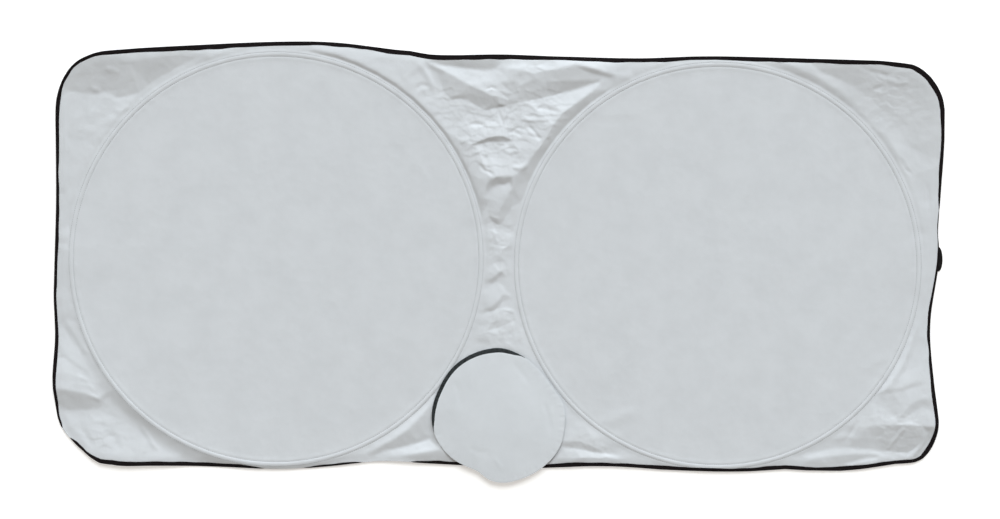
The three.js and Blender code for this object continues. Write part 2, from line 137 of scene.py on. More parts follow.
def lattice_value(i, j, seed):
    """A repeatable value from -1 to 1 for each corner of a lattice."""
    mixed = np.sin(i * 127.1 + j * 311.7 + seed * 74.7) * 43758.5453
    return 2 * (mixed - np.floor(mixed)) - 1


def facets(x, y, cell, turn, seed, soft=False):
    """Flat triangles about `cell` across that meet at creases, from -1 to 1."""
    c, s = math.cos(turn), math.sin(turn)
    u = (c * x + s * y) / cell
    v = (c * y - s * x) / cell
    k = v / math.sqrt(0.75)
    h = u - 0.5 * k
    i, j = np.floor(h), np.floor(k)
    a, b = h - i, k - j
    if soft:
        a, b = a * a * (3 - 2 * a), b * b * (3 - 2 * b)
    upper = a + b > 1
    near = lattice_value(i + upper, j + upper, seed)
    right = lattice_value(i + 1, j, seed)
    above = lattice_value(i, j + 1, seed)
    weight = np.where(upper, a + b - 1, 1 - a - b)
    return weight * near + np.where(upper, 1 - b, a) * right + np.where(upper, 1 - a, b) * above


def swirl(x, y, cell, seed):
    """Smooth unevenness, from about -1 to 1."""
    return 0.6 * facets(x, y, cell, 0.3, seed, True) + 0.4 * facets(x, y, cell * 0.6, 1.4, seed + 7, True)


# Facets of the crumpled cloth, each level half as large: their turn and their share.
CRUMPLE_LEVELS = ((0.4, 1), (1.1, 0.7), (0.2, 0.36), (0.8, 0.15))


def crumple(x, y, cell, seed):
    """Crumpled cloth: facets of several sizes with bent creases."""
    bend = 0.45 * cell
    bent_x = x + bend * swirl(x, y, cell * 1.7, seed + 1)
    bent_y = y + bend * swirl(x, y, cell * 1.7, seed + 2)
    height = 0
    for level, (turn, share) in enumerate(CRUMPLE_LEVELS):
        height = height + share * facets(bent_x, bent_y, cell * 0.5**level, turn + seed, seed + 3 + level)
    return height


# Outline of the sheet and the rings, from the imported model


def rim_points():
    """Corners of the CAD sheet's edge, anticlockwise."""
    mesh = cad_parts["shade_panel"].data
    found = set()
    for face in mesh.polygons:
        if abs(face.normal.z) < 0.05:
            for index in face.vertices:
                place = mesh.vertices[index].co
                found.add((round(place.x / METRE, 2), round(place.y / METRE, 2)))
    return np.array(sorted(found, key=lambda p: math.atan2(p[1], p[0])))


def run_along(path):
    """Distance along a path at each of its points."""
    return np.concatenate([[0], np.cumsum(np.hypot(*np.diff(path, axis=0).T))])


def stations_on(loop, run, stations):
    """Places at distances along a loop whose points lie at the distances `run`."""
    return np.column_stack([np.interp(stations, run, loop[:, axis]) for axis in (0, 1)])


def ahead_at(angles):
    """Directions at angles, each of length 1."""
    return np.column_stack([np.cos(angles), np.sin(angles)])


def closed_curve(corners, step):
    """A smooth closed curve through the corners, with even spacing near step."""
    before, after, beyond = (np.roll(corners, shift, 0) for shift in (1, -1, -2))
    parts = []
    for t in np.linspace(0, 1, 12, endpoint=False):
        line = 2 * corners + (after - before) * t
        square = (2 * before - 5 * corners + 4 * after - beyond) * t**2
        cube = (3 * corners - before - 3 * after + beyond) * t**3
        parts.append(0.5 * (line + square + cube))
    fine = np.stack(parts, 1).reshape(-1, 2)
    loop = np.vstack([fine, fine[:1]])
    run = run_along(loop)
    stations = np.linspace(0, run[-1], int(run[-1] / step), endpoint=False)
    return stations_on(loop, run, stations)


def inward_normals(loop):
    """Direction inwards at each point of an anticlockwise loop."""
    along = np.roll(loop, -1, 0) - np.roll(loop, 1, 0)
    along /= np.hypot(*along.T)[:, None]
    return np.column_stack([-along[:, 1], along[:, 0]])


edge = closed_curve(rim_points(), EDGE_STEP)
edge_inward = inward_normals(edge)

# Where the soft edge has crept in (or out, below 0) from its laid line: places on it in
# pixels of the photograph, anticlockwise, and millimetres.
EDGE_CREEP = [
    ((943, 110), 1.0), ((939, 90), 6.0), ((934, 81), 7.0), ((926, 73), 6.2), ((912, 65), 3.0),
    ((880, 61), 0.6), ((740, 57), 0.2), ((620, 58), 0.2), ((430, 54), -1.2), ((410, 50), -3.4),
    ((395, 49), -1.6), ((365, 46), 0), ((200, 44), 0), ((140, 47), -0.4), ((104, 51), 0.6),
    ((90, 54), 3.0), ((75, 60), 4.0), ((64, 73), 4.4), ((57, 100), 1.0), ((56, 200), 1.6),
    ((54, 300), 1.6), ((53, 390), 0.8), ((57, 418), 2.4), ((64, 432), 5.2), ((72, 440), 5.6),
    ((82, 450), 3.4), ((92, 456), -0.8), ((101, 461), -3.0), ((112, 463), 0), ((150, 465), 1.0),
    ((235, 467), 2.2), ((340, 465), 1.0), ((430, 462), 1.6), ((550, 467), 2.2), ((600, 466), 0.6),
    ((660, 469), 0), ((700, 471), 2.0), ((750, 471), 3.4), ((785, 471), 6.0), ((806, 471), 3.2),
    ((840, 470), 1.2), ((870, 467), 2.4), ((895, 464), 2.6), ((908, 462), 0), ((921, 458), -3.2),
    ((932, 445), -3.2), ((937, 430), -2.6), ((938, 415), -1.2), ((934, 390), 0),
    ((930, 340), 0.2), ((936, 290), -0.6), ((937, 220), 0.6), ((941, 180), 1.0), ((943, 140), 0),
]


def nearest_station(place):
    """Which point of the edge is nearest to a point of the photograph."""
    return int(np.argmin(np.hypot(*(edge - at(*place)).T)))


def along_edge(values):
    """Values given at places on the edge, spread to every point of it."""
    stations = np.array([nearest_station(place) for place, _ in values])
    amounts = np.array([amount for _, amount in values])
    order = np.argsort(stations)
    return np.interp(np.arange(len(edge)), stations[order], amounts[order], period=len(edge))


edge = edge + along_edge(EDGE_CREEP)[:, None] * edge_inward
edge_inward = inward_normals(edge)


def ring_of(side):
    """Centre and radius of a ring's wire, from its casing's box."""
    low, high = (np.array(corner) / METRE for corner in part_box(f"{side}_ring_casing"))
    return ((low + high) / 2)[:2], (high[0] - low[0]) / 2 - CASING_HALF


RINGS = {side: ring_of(side) for side in ("left", "right")}


def ring_offsets(x, y):
    """Distance outwards from each ring's wire, negative inside it."""
    return [np.hypot(x - centre[0], y - centre[1]) - radius for centre, radius in RINGS.values()]


def ring_offset(x, y):
    """Distance outwards from the nearer ring's wire, negative inside it."""
    return np.minimum(*ring_offsets(x, y))


GRID_STEP = 5.0
grid_x = np.arange(-740, 741, GRID_STEP)
grid_y = np.arange(-370, 371, GRID_STEP)


def depth_grid():
    """Distance inwards from the outline, at the points of a grid."""
    gx, gy = np.meshgrid(grid_x, grid_y)
    nearest = np.full(gx.shape, np.inf)
    owner = np.zeros(gx.shape, int)
    for i, (ex, ey) in enumerate(edge[::2]):
        away = (gx - ex) ** 2 + (gy - ey) ** 2
        closer = away < nearest
        nearest[closer] = away[closer]
        owner[closer] = 2 * i
    toward = np.stack([gx - edge[owner, 0], gy - edge[owner, 1]], -1)
    side = np.sign((toward * edge_inward[owner]).sum(-1))
    return np.sqrt(nearest) * np.where(side == 0, 1, side)


DEPTHS = depth_grid()


def edge_depth(x, y):
    """Distance inwards from the outline, read from the grid."""
    u = np.clip((x - grid_x[0]) / GRID_STEP, 0, len(grid_x) - 1.001)
    v = np.clip((y - grid_y[0]) / GRID_STEP, 0, len(grid_y) - 1.001)
    i, j = u.astype(int), v.astype(int)
    a, b = u - i, v - j
    low = DEPTHS[j, i] * (1 - a) + DEPTHS[j, i + 1] * a
    high = DEPTHS[j + 1, i] * (1 - a) + DEPTHS[j + 1, i + 1] * a
    return low * (1 - b) + high * b


# Folds: each is a line of points, which are a place in the photograph in pixels and how
# far the fold stands above or below the sheet's own level there, in millimetres. The
# sheet is flat between one fold and the next, and a fold that comes near the edge runs
# out over it.
FOLDS = [
    # top middle, above the place where the rings part
    [(437, 59.5, 2.2), (455, 60, 3.2), (475, 60, 3.6), (495, 59, 3.0), (503, 58.5, 0.8)],
    [(440, 65, 0.2), (455, 66.7, 0), (470, 69, -0.2), (485, 70.5, -0.2), (495, 69, 0.3), (501, 63, 0.5)],
    [(426, 61, 0.8), (440, 69.3, 2.2), (450, 74.5, 3.6), (460, 80, 4.1), (470, 85.5, 4.9), (480, 90.5, 5.5)],
    [(480, 90.5, 5.5), (487, 93.5, 5.6), (493, 98.5, 4.8), (500, 104.5, 2.8)],
    [(429, 68, 0), (438, 73, 0.2), (441, 82, -0.2), (444, 92, -0.6), (452, 100, -1.0), (461, 99, -0.6)],
    [(461, 99, -0.6), (469, 101, -0.4), (478, 107, -0.8), (486, 110.5, -0.8), (494, 108.5, -0.2)],
    [(454, 97, 0.2), (463, 93, 2.2)],
    [(505, 70, 2.0), (512, 69, 3.2), (520, 69.5, 3.8), (527, 72, 3.8)],
    [(512, 64, 1.0), (518, 65.5, 1.4), (526, 64, 1.0), (535, 66, 1.8), (545, 64, 1.2)],
    [(532, 74, 4.0), (545, 71.5, 4.6), (560, 69, 5.2), (568, 67.3, 5.6), (574, 65, 5.6), (585, 67.5, 5.6)],
    [(585, 67.5, 5.6), (595, 70, 5.0), (605, 73, 3.6), (616, 76, 1.6)],
    [(586, 71.5, 3.0), (598, 75, 1.6), (610, 78, 0.6)],
    [(520, 80, 2.6), (532, 81, 3.0), (545, 82, 3.2), (560, 81.7, 3.2), (575, 81.5, 2.8), (588, 80.5, 2.0),
     (600, 79.5, 1.0)],
    [(507, 105.5, 0.2), (515, 103.5, -0.7), (525, 101.5, -1.1), (535, 99.5, -1.5), (545, 97.5, -1.8),
     (552, 96, -1.8)],
    [(552, 96, -1.8), (560, 93.5, -1.8), (570, 91, -1.5), (580, 88, -1.0), (590, 84.7, -0.4),
     (598, 82.3, 0.2)],
    [(490, 72.5, 0.4), (496, 76, 1.8), (500, 83, 3.0), (499, 91, 3.8), (497, 97, 5.0)],
    [(503, 73, 1.6), (507, 77.5, 3.0), (515, 81, 3.6), (520, 86, 3.0), (515, 95, 1.4), (510, 101, 0.8)],
    [(470, 145, 4.2), (476, 143.3, 4.4), (481, 140.8, 4.6), (488, 138.6, 4.8), (495, 137, 5.0),
     (502, 136.3, 4.6)],
    [(475, 145.6, 3.2), (482, 143.2, 2.0), (489, 141.8, 1.2), (497, 141.8, 1.0), (505, 142, 1.6),
     (512, 140.5, 2.8)],
    [(484, 198, 4.6), (484.5, 190, 5.6), (487, 184, 6.6), (491, 179.5, 7.4), (497, 177, 7.8),
     (505, 177.5, 7.8)],
    [(505, 177.5, 7.8), (512, 176.5, 7.4), (518, 174, 6.6)],
    [(489, 199, 2.2), (489.5, 191, 2.0), (492, 187, 2.2), (498, 184.5, 2.4), (503, 185, 2.6),
     (509, 182.5, 3.2)],
    [(600, 84, 1.4), (594, 90, 2.4), (584, 98, 3.6), (574, 105, 4.4), (563, 113, 4.8), (553, 125, 5.0),
     (547.5, 136, 5.2)],
    [(547.5, 136, 5.2), (540, 147, 5.6), (531, 158, 6.0), (525, 167, 6.2)],
    # between the rings
    [(513, 188, 5.2), (508, 194, 5.0), (504, 203, 4.6), (499, 212, 3.8), (497, 218, 2.8)],
    [(515, 198, 1.6), (510.5, 208, 0.8), (505.5, 218, 0), (500, 224.5, -0.4)],
    [(488.5, 216, 1.2), (492.5, 221.5, -0.6), (497, 224.5, -0.6)],
    [(493.5, 232, 0.6), (494.5, 246, 1.0), (493, 262, 1.0)],
    [(501, 262, 1.8), (501.5, 254, 2.2), (504, 248.5, 2.2), (508, 246.5, 1.6), (512, 246, 0.8)],
    [(505.5, 264, 0.8), (507, 276, 0.3), (506, 290, 0.2)],
    [(491, 279.5, 1.6), (496, 275, 2.4), (501, 271, 2.4)],
    [(492, 283, -0.4), (497, 280, -0.2), (501, 276, 0.2)],
    [(489, 308, 1.5), (494, 305, 2.2), (499, 300, 2.4), (503, 294, 1.5)],
    [(492.5, 311, 0), (497.5, 307.5, 0), (502, 301, 0.2)],
    [(486, 331, 1.5), (491, 323, 1.8), (497, 320, 1.6)],
    [(497, 328, 0.5), (501, 335, 1.8), (507, 343, 1.8)],
    # top left corner
    [(63, 82, 2.4), (68, 73, 5.0), (78, 62, 7.4), (90, 57, 8.6), (102, 54, 9.2), (120, 51.5, 9.2),
     (145, 49.5, 8.2)],
    [(145, 49.5, 8.2), (170, 48, 5.8), (195, 47, 2.0)],
    [(128, 62.5, 7.2), (150, 60, 6.6), (168, 57, 4.8), (182, 54, 2.6)],
    [(70, 91, -1.0), (82, 93, -1.6), (95, 94.5, -2.0), (102, 92.5, -2.0), (112, 94, -2.2), (118, 98, -2.2),
     (123, 101.5, -1.2)],
    [(97, 98.5, -1.8), (106, 97, -1.6), (113, 100, -1.6), (118, 105, -1.3)],
    [(131, 101, -0.4), (140, 93, -0.6), (150, 84.8, -0.7), (165, 74.8, -0.7), (180, 66.8, -0.5),
     (196, 59, 0)],
    [(65, 95, -0.6), (64, 110, 0.1), (64, 140, 0.3), (64, 170, 0.3), (64, 188, 0.1)],
    [(69, 99, -0.9), (68.5, 115, -0.4), (68.5, 140, -0.3), (68.5, 165, -0.3), (69, 182, -0.4)],
    [(66, 194, -0.6), (69, 206, -1.0), (70, 225, -1.0), (70.5, 245, -0.6)],
    # bottom left corner
    [(59, 318, 0.1), (64, 326, 0.0), (70, 335, 0.3), (76, 344, 0.9), (83, 355, 1.4), (90, 364, 1.4)],
    [(65, 317, 0.6), (72, 329, 1.2), (79, 340, 1.5), (86, 351, 1.4)],
    [(59, 340, 1.6), (65, 353, 2.8), (73, 359.5, 3.1), (81, 365, 2.9), (89, 370, 2.2)],
    [(66, 358, 2.7), (74, 365, 3.0), (84, 372, 2.7)],
    [(56, 388, 6.0), (66, 389, 6.4), (76, 391, 6.0), (88, 393.5, 4.8), (98, 398, 2.6)],
    [(57, 372, 4.9), (68, 375, 5.0), (80, 378, 4.4), (91, 382, 3.2)],
    [(57, 410, -0.6), (70, 410.5, -0.9), (82, 410, -0.9), (95, 408.8, -0.8), (104, 406.5, -0.6)],
    [(104, 401, 0.4), (112, 409, -0.2), (122, 418.5, -0.2), (132, 426.5, 0), (142, 433.5, 0.2),
     (152, 441, 0.5)],
    [(152, 441, 0.5), (165, 449, 0.8), (180, 455, 0.8)],
    [(61, 424, 1.0), (69, 437, 2.2), (79, 448, 3.2), (89, 456, 4.0), (103, 461, 4.6), (122, 462.5, 5.0)],
    [(122, 462.5, 5.0), (140, 463.5, 4.6), (160, 464, 3.6), (180, 464.5, 2.0)],
    # by the pouch
    [(366, 454, 0.3), (380, 446.5, 1.6), (390, 441, 2.2), (400, 434.5, 2.8), (408, 429, 3.0),
     (416, 421, 3.0)],
    [(416, 421, 3.0), (424, 413, 2.6), (431, 404, 1.6)],
    [(373, 455, -0.3), (383, 451, -0.8), (395, 448.5, -1.4), (408, 445.5, -1.8), (420, 442, -2.0),
     (430, 438.5, -2.0)],
    [(381, 458, 0.4), (395, 456.3, 1.4), (408, 454.7, 2.4), (420, 452.7, 3.0), (430, 450.7, 3.2),
     (440, 449, 3.2)],
    [(561, 440.5, 1.4), (570, 441, 1.5), (580, 441.5, 1.5), (588, 443.5, 1.4), (594, 447, 1.1),
     (600, 450.3, 0.5)],
    [(560, 446, -0.6), (572, 447.5, -0.8), (583, 449.5, -0.8), (594, 452, -0.6), (604, 453, -0.4),
     (614, 454.5, -0.2)],
    [(558, 458, 1.2), (572, 458.5, 1.6), (582, 457.5, 1.6), (592, 457, 1.6), (600, 458, 1.3),
     (606, 456.7, 1.2)],
    [(606, 456.7, 1.2), (614, 457.5, 1.0), (624, 458.7, 0.8)],
    # bottom right corner
    [(921, 322, 0), (917, 335, 0.3), (913, 349, 0.9), (908, 361, 1.6), (903, 372, 2.4), (898, 381, 3.3)],
    [(915, 328, 0.9), (909.5, 346, 2.1), (902.5, 362, 3.1), (895.5, 375, 3.8), (889, 384, 3.6)],
    [(886, 389, 3.2), (893, 388.5, 4.0), (900, 387.5, 4.4), (906, 384.5, 4.6), (914, 382, 4.4),
     (920, 380.5, 3.9)],
    [(893, 391.8, 3.5), (902, 390.8, 3.7), (909, 388.3, 3.8), (916, 386.3, 3.8)],
    [(924, 345, 1.0), (922.5, 365, 2.2), (923, 384, 3.5), (922.5, 394, 4.2)],
    [(929, 340, 1.4), (930, 360, 2.7), (931, 380, 4.0), (932, 396, 4.8)],
    [(925, 397, 4.9), (917, 400, 5.2), (909, 404.5, 5.2), (903, 410, 5.0), (898, 418, 4.5)],
    [(929, 402.5, 4.4), (920, 406.5, 3.9), (912, 411.5, 3.7), (905, 417, 4.0), (900, 421.5, 4.8)],
    [(866, 427.5, 2.4), (880, 424.5, 4.4), (893, 424.3, 5.4), (905, 424.8, 5.6), (920, 425.5, 5.4),
     (933, 426.3, 5.0)],
    [(800, 455, -0.2), (815, 451.5, -0.6), (830, 448.5, -0.8), (848, 447, -1.0), (862, 448.5, -1.4),
     (878, 450, -1.8)],
    [(878, 450, -1.8), (893, 451.5, -2.0), (907, 452.5, -1.8), (913, 449, -1.2)],
    [(808, 458.5, 0.8), (822, 457, 1.2), (835, 455.5, 1.2), (852, 453.5, 0.6), (868, 453.5, -0.4),
     (880, 455, -0.8)],
    [(828, 463, 0), (842, 464, -0.8), (852, 461.5, -1.0), (864, 458.5, -1.2), (874, 457.3, -1.2)],
    [(849, 466, 0.2), (858, 463, 0.4), (868, 461, 0.4), (880, 459.7, 0.2), (893, 459, 0.2), (905, 458, 0)],
    [(911.5, 456, 1.0), (918, 448, 1.2), (924, 439.5, 1.4), (928, 432, 1.8)],
    [(915.5, 456.5, -0.6), (921.5, 449, -0.8), (927.5, 440, -0.6)],
    # top right corner
    [(806, 60, 2.6), (822, 60.5, 5.2), (840, 61.5, 7.8), (860, 62, 9.6), (880, 62.5, 10.4), (898, 64, 10.8),
     (914, 68.5, 10.6)],
    [(914, 68.5, 10.6), (926, 77, 9.8), (934.5, 88, 8.2), (939.5, 101, 6.6), (941, 116, 5.2),
     (941, 134, 3.6), (941, 152, 1.6)],
    [(822, 74, 1.6), (838, 79, 2.2), (854, 88, 2.1), (870, 99, 1.7), (885, 113, 1.0), (898, 129, 0.6),
     (910, 148, 0.2)],
]

# Folds beside a ring: which ring, how far outside its wire at the first and the last
# angle, the two angles in degrees, and the height.
RING_FOLDS = [
    ("left", 6.2, 7.6, 12, 80, -0.9),
    ("left", 9.6, 12.6, 12, 80, 1.6),
    ("right", 8.8, 8.8, 24, 76, 0),
    ("right", 16.4, 19.0, 24, 44, 0.9),
    ("right", 19.0, 19.4, 48, 76, 2.1),
    ("right", 8.4, 7.4, 122, 162, -0.8),
]
RING_FOLD_STEP = 6
RING_FOLD_END = 0.4

# Points that hold the folds at their ends. Those past the edge take the height of a fold
# within ANCHOR_ROOM, blended with their neighbours by the shares of ANCHOR_BLEND; those
# round the rings, one every RING_ANCHOR_STEP degrees, stay at the sheet's own level.
ANCHOR_STEP = 4
ANCHOR_OUTSIDE = 3.0
ANCHOR_ROOM = 16
ANCHOR_BLEND = ((-2, 0.11), (-1, 0.22), (0, 0.34), (1, 0.22), (2, 0.11))
RING_ANCHOR = 5.0
RING_ANCHOR_STEP = 3

# Smaller creases: the pixels that each passes through, its height in millimetres, and
# how far it runs out to its left and right in pixels.
CREASES = [
    ([(497, 108), (501, 118), (504, 129)], -0.8, 2.5, 2.5),
    ([(511, 106), (508, 117), (505, 129)], -0.8, 2.5, 2.5),
    ([(478, 163), (484, 170), (495, 175)], -1.0, 2, 3),
    ([(511, 167), (520, 169), (530, 164)], 1.3, 4, 3),
    ([(527, 124), (534, 132), (542, 142)], -1.0, 2.5, 3),
    ([(532, 108), (545, 109), (562, 113)], -0.9, 3, 3),
    ([(468, 126), (475, 124), (488, 125)], -0.9, 3, 3),
    ([(506, 133), (514, 132), (524, 136)], -0.9, 3, 3),
    ([(516, 118), (530, 121), (546, 120)], 0.9, 4, 3),
    ([(470, 155), (478, 152), (492, 157)], 0.9, 5, 3),
    ([(500, 148), (510, 153), (522, 150)], 0.9, 5, 3),
    ([(485, 90), (492, 88), (498, 90)], -1.0, 3, 2),
    ([(419, 62), (428, 76), (436, 92)], 1.2, 4, 5),
    ([(415, 90), (422, 85), (432, 88)], -1.0, 3, 4),
    ([(493, 229), (496, 240), (499, 244)], 0.8, 3, 3),
    ([(502, 309), (508, 310), (515, 312)], 0.7, 2, 2.5),
    ([(139, 423), (147, 433), (153, 443), (160, 451)], 0.8, 2.5, 3.5),
    ([(78, 424), (86, 434), (94, 450)], -0.8, 5, 5),
    ([(108, 430), (116, 440), (120, 453)], -0.7, 5, 6),
    ([(75, 374), (84, 378), (92, 382)], 0.5, 3, 3),
    ([(80, 384), (90, 386), (98, 391)], 0.5, 3, 3),
    ([(88, 394), (96, 397), (104, 401)], 0.7, 2, 3),
    ([(906, 425), (899, 433), (892, 442), (887, 451)], 0.9, 3, 3),
    ([(858, 418), (852, 430), (845, 441)], -1.0, 3, 3),
    ([(877, 400), (876, 411), (877, 422)], -0.4, 3, 3),
    ([(832, 440), (845, 436), (858, 438)], 0.7, 5, 4),
    ([(868, 96), (875, 89), (884, 86)], -0.7, 3, 4),
    ([(856, 67), (872, 72), (892, 78)], -0.9, 3, 4),
    ([(884, 79), (896, 84), (908, 82)], 0.7, 4, 4),
    ([(926, 180), (928, 200), (929, 224)], -0.8, 2.5, 2.5),
    ([(898, 156), (905, 169), (912, 176)], -1.0, 2, 3),
    ([(104, 68), (112, 70), (122, 74)], 0.8, 4, 4),
    ([(90, 86), (96, 90), (102, 91)], 0.8, 3, 3),
    ([(112, 108), (120, 112), (132, 106)], 0.6, 4, 4),
    # on the discs
    ([(374, 92), (375, 112), (373, 132)], -0.5, 3, 4),
    ([(312, 78), (325, 98), (341, 122)], -0.35, 5, 5),
    ([(392, 149), (406, 161)], -0.4, 4, 4),
    ([(409, 154), (421, 172), (434, 187)], 0.5, 4, 4),
    ([(585, 121), (620, 123), (652, 122)], -0.45, 4, 5),
    ([(599, 424), (613, 418), (642, 407)], 0.8, 5, 9),
    ([(862, 371), (875, 360), (892, 355)], 0.6, 5, 6),
]
CREASE_TAPER = 0.3

# How crumpled the loose sheet is: a place in the photograph, how far the patch reaches
# in pixels, and its strength.
CRUMPLED = [
    ((505, 125), 62, 0.44),
    ((498, 240), 60, 0.4),
    ((500, 330), 45, 0.35),
    ((905, 430), 48, 0.28),
    ((80, 420), 46, 0.22),
    ((85, 110), 55, 0.26),
    ((910, 110), 50, 0.2),
    ((590, 452), 40, 0.35),
    ((410, 450), 35, 0.2),
]
CRUMPLE_BASE = 0.12
CRUMPLE_CELL = 40
CRUMPLE_HEIGHT = 2.4
FINE_FROM = 0.26

# Places where the crumpled cloth's small facets all tip one way: as above, with the
# strength positive where they rise towards the pouch's side.
TIPPED = [
    ((492, 140), 46, 0.85),
    ((540, 115), 40, 0.8),
    ((445, 105), 30, 0.65),
    ((475, 78), 20, 0.35),
    ((540, 63), 26, 0.6),
    ((100, 437), 40, 0.4),
    ((80, 370), 18, 0.2),
    ((112, 76), 40, -0.3),
    ((160, 62), 26, -0.3),
    ((890, 92), 52, -0.45),
    ((560, 78), 26, -0.4),
    ((470, 92), 20, -0.3),
    ((900, 434), 38, -0.55),
    ((420, 446), 20, 0.4),
]
PLATE_SIZE = 15
PLATE_TIP = 0.056
PLATE_JOIN = 3.0
PLATE_SQUASH = 1.25


def crease_height(x, y, path, height, left, right):
    """Height that one crease adds."""
    path = np.array([at(*place) for place in path])
    runs = np.hypot(*np.diff(path, axis=0).T)
    starts = run_along(path)
    reach = max(left, right) * MM_PER_PIXEL
    low, high = path.min(0) - reach, path.max(0) + reach
    near = (x > low[0]) & (x < high[0]) & (y > low[1]) & (y < high[1])
    added = np.zeros_like(x)
    px, py = x[near], y[near]
    best = np.full(px.shape, np.inf)
    aside, share = np.zeros_like(px), np.zeros_like(px)
    for (ax, ay), (bx, by), run, start in zip(path[:-1], path[1:], runs, starts):
        ux, uy = (bx - ax) / run, (by - ay) / run
        along = np.clip((px - ax) * ux + (py - ay) * uy, 0, run)
        away = np.hypot(px - ax - along * ux, py - ay - along * uy)
        closer = away < best
        best[closer] = away[closer]
        turn = ux * (py - ay) - uy * (px - ax)
        aside[closer] = (away * np.sign(turn))[closer]
        share[closer] = ((start + along) / starts[-1])[closer]
    width = np.where(aside > 0, left, right) * MM_PER_PIXEL
    fall = np.clip(1 - np.abs(aside) / width, 0, 1)
    added[near] = height * fall * smooth(np.minimum(share, 1 - share), -0.04, CREASE_TAPER)
    return added


def ring_place(side, offset, degrees):
    """Place outside a ring's wire, at an angle."""
    centre, radius = RINGS[side]
    turn = math.radians(degrees)
    reach = radius + offset
    return centre[0] + reach * math.cos(turn), centre[1] + reach * math.sin(turn)


def fold_lines():
    """All folds as lines of (x, y, height) in millimetres."""
    lines = [[(*at(px, py), height) for px, py, height in fold] for fold in FOLDS]
    for side, near, far, first, last, height in RING_FOLDS:
        count = int((last - first) / RING_FOLD_STEP) + 1
        turns = np.linspace(first, last, count)
        offsets = np.linspace(near, far, count)
        heights = [RING_FOLD_END * height, *[height] * (count - 2), RING_FOLD_END * height]
        line = [
            (*ring_place(side, offset, turn), rise)
            for turn, offset, rise in zip(turns, offsets, heights)
        ]
        lines.append(line)
    return lines


def triangulated(places, edges, kind):
    """Triangles between places in plan, with the edges kept."""
    corners = [Vector(place[:2]) for place in places]
    flat, _, faces, origins, *_ = delaunay_2d_cdt(corners, edges, [], kind, MERGE_WITHIN)
    return flat, faces, origins


def cut_sheet(points, rim_count):
    """A sheet's points in plan, its triangles and where its points come from."""
    rim = [(i, (i + 1) % rim_count) for i in range(rim_count)]
    flat, faces, origins = triangulated(points.tolist(), rim, 1)
    return np.array([tuple(place) for place in flat]), faces, origins


def fold_triangles():
    """The folded sheet's flat facets, each as its three corners (x, y, height)."""
    places, edges = [], []
    for line in fold_lines():
        first = len(places)
        places += line
        edges += [(first + i, first + i + 1) for i in range(len(line) - 1)]
    anchors = (edge - ANCHOR_OUTSIDE * edge_inward)[::ANCHOR_STEP]
    found = np.array([nearby_height(place, places, edges) for place in anchors])
    heights = sum(share * np.roll(found, shift) for shift, share in ANCHOR_BLEND)
    places += [(*place, height) for place, height in zip(anchors, heights)]
    for side in RINGS:
        for degrees in range(0, 360, RING_ANCHOR_STEP):
            places.append((*ring_place(side, RING_ANCHOR, degrees), 0.0))
    flat, faces, origins = triangulated(places, edges, 0)
    corners = []
    for place, origin in zip(flat, origins):
        if origin:
            height = places[origin[0]][2]
        else:
            height = crossing_height(place, places, edges)
        corners.append((place.x, place.y, height))
    corners = np.array(corners)
    return [corners[list(face)] for face in faces if np.abs(corners[list(face), 2]).max() > 0.01]


def nearby_height(place, places, edges):
    """Height at the edge: that of a fold close by, and 0 where there is none."""
    best, height = ANCHOR_ROOM, 0.0
    for a, b in edges:
        ax, ay, ah = places[a]
        bx, by, bh = places[b]
        run = (bx - ax) ** 2 + (by - ay) ** 2
        share = min(1, max(0, ((place[0] - ax) * (bx - ax) + (place[1] - ay) * (by - ay)) / run))
        away = math.hypot(place[0] - ax - share * (bx - ax), place[1] - ay - share * (by - ay))
        if away < best:
            best, height = away, ah + share * (bh - ah)
    return height


def crossing_height(place, places, edges):
    """Mean height of the two folds that cross at a point."""
    found = []
    for a, b in edges:
        ax, ay, ah = places[a]
        bx, by, bh = places[b]
        run = math.hypot(bx - ax, by - ay)
        share = ((place.x - ax) * (bx - ax) + (place.y - ay) * (by - ay)) / run**2
        away = abs((place.x - ax) * (by - ay) - (place.y - ay) * (bx - ax)) / run
        if away < 0.01 and 0 <= share <= 1:
            found.append(ah + (bh - ah) * share)
    return sum(found) / max(len(found), 1)


TRIANGLES = fold_triangles()


def fold_height(x, y):
    """Height of the folds: flat facets between their lines."""
    height = np.zeros_like(x)
    for (ax, ay, ah), (bx, by, bh), (cx, cy, ch) in TRIANGLES:
        beside = (x >= min(ax, bx, cx)) & (x <= max(ax, bx, cx))
        near = (beside & (y >= min(ay, by, cy)) & (y <= max(ay, by, cy))).nonzero()[0]
        span = (bx - ax) * (cy - ay) - (cx - ax) * (by - ay)
        px, py = x[near] - ax, y[near] - ay
        v = (px * (cy - ay) - (cx - ax) * py) / span
        w = ((bx - ax) * py - px * (by - ay)) / span
        inside = (v >= -1e-9) & (w >= -1e-9) & (v + w <= 1 + 1e-9)
        height[near[inside]] = (ah + v * (bh - ah) + w * (ch - ah))[inside]
    return height


def loose_share(offset):
    """0 on a ring and its tunnel, 1 on the loose sheet."""
    return smooth(offset, SEAM_OFFSET, LOOSE_OFFSET)


def patch_share(x, y, patches, base=0.0):
    """Strength of the strongest patch at each point."""
    share = np.full_like(x, base)
    for place, reach, strength in patches:
        cx, cy = at(*place)
        away = np.hypot(x - cx, y - cy) / (reach * MM_PER_PIXEL)
        here = strength * np.exp(-(away**2) * 1.2)
        share = np.where(np.abs(here) > np.abs(share), here, share)
    return share


def crumple_share(x, y):
    """How crumpled the sheet is, from 0 to 1."""
    return patch_share(x, y, CRUMPLED, CRUMPLE_BASE)


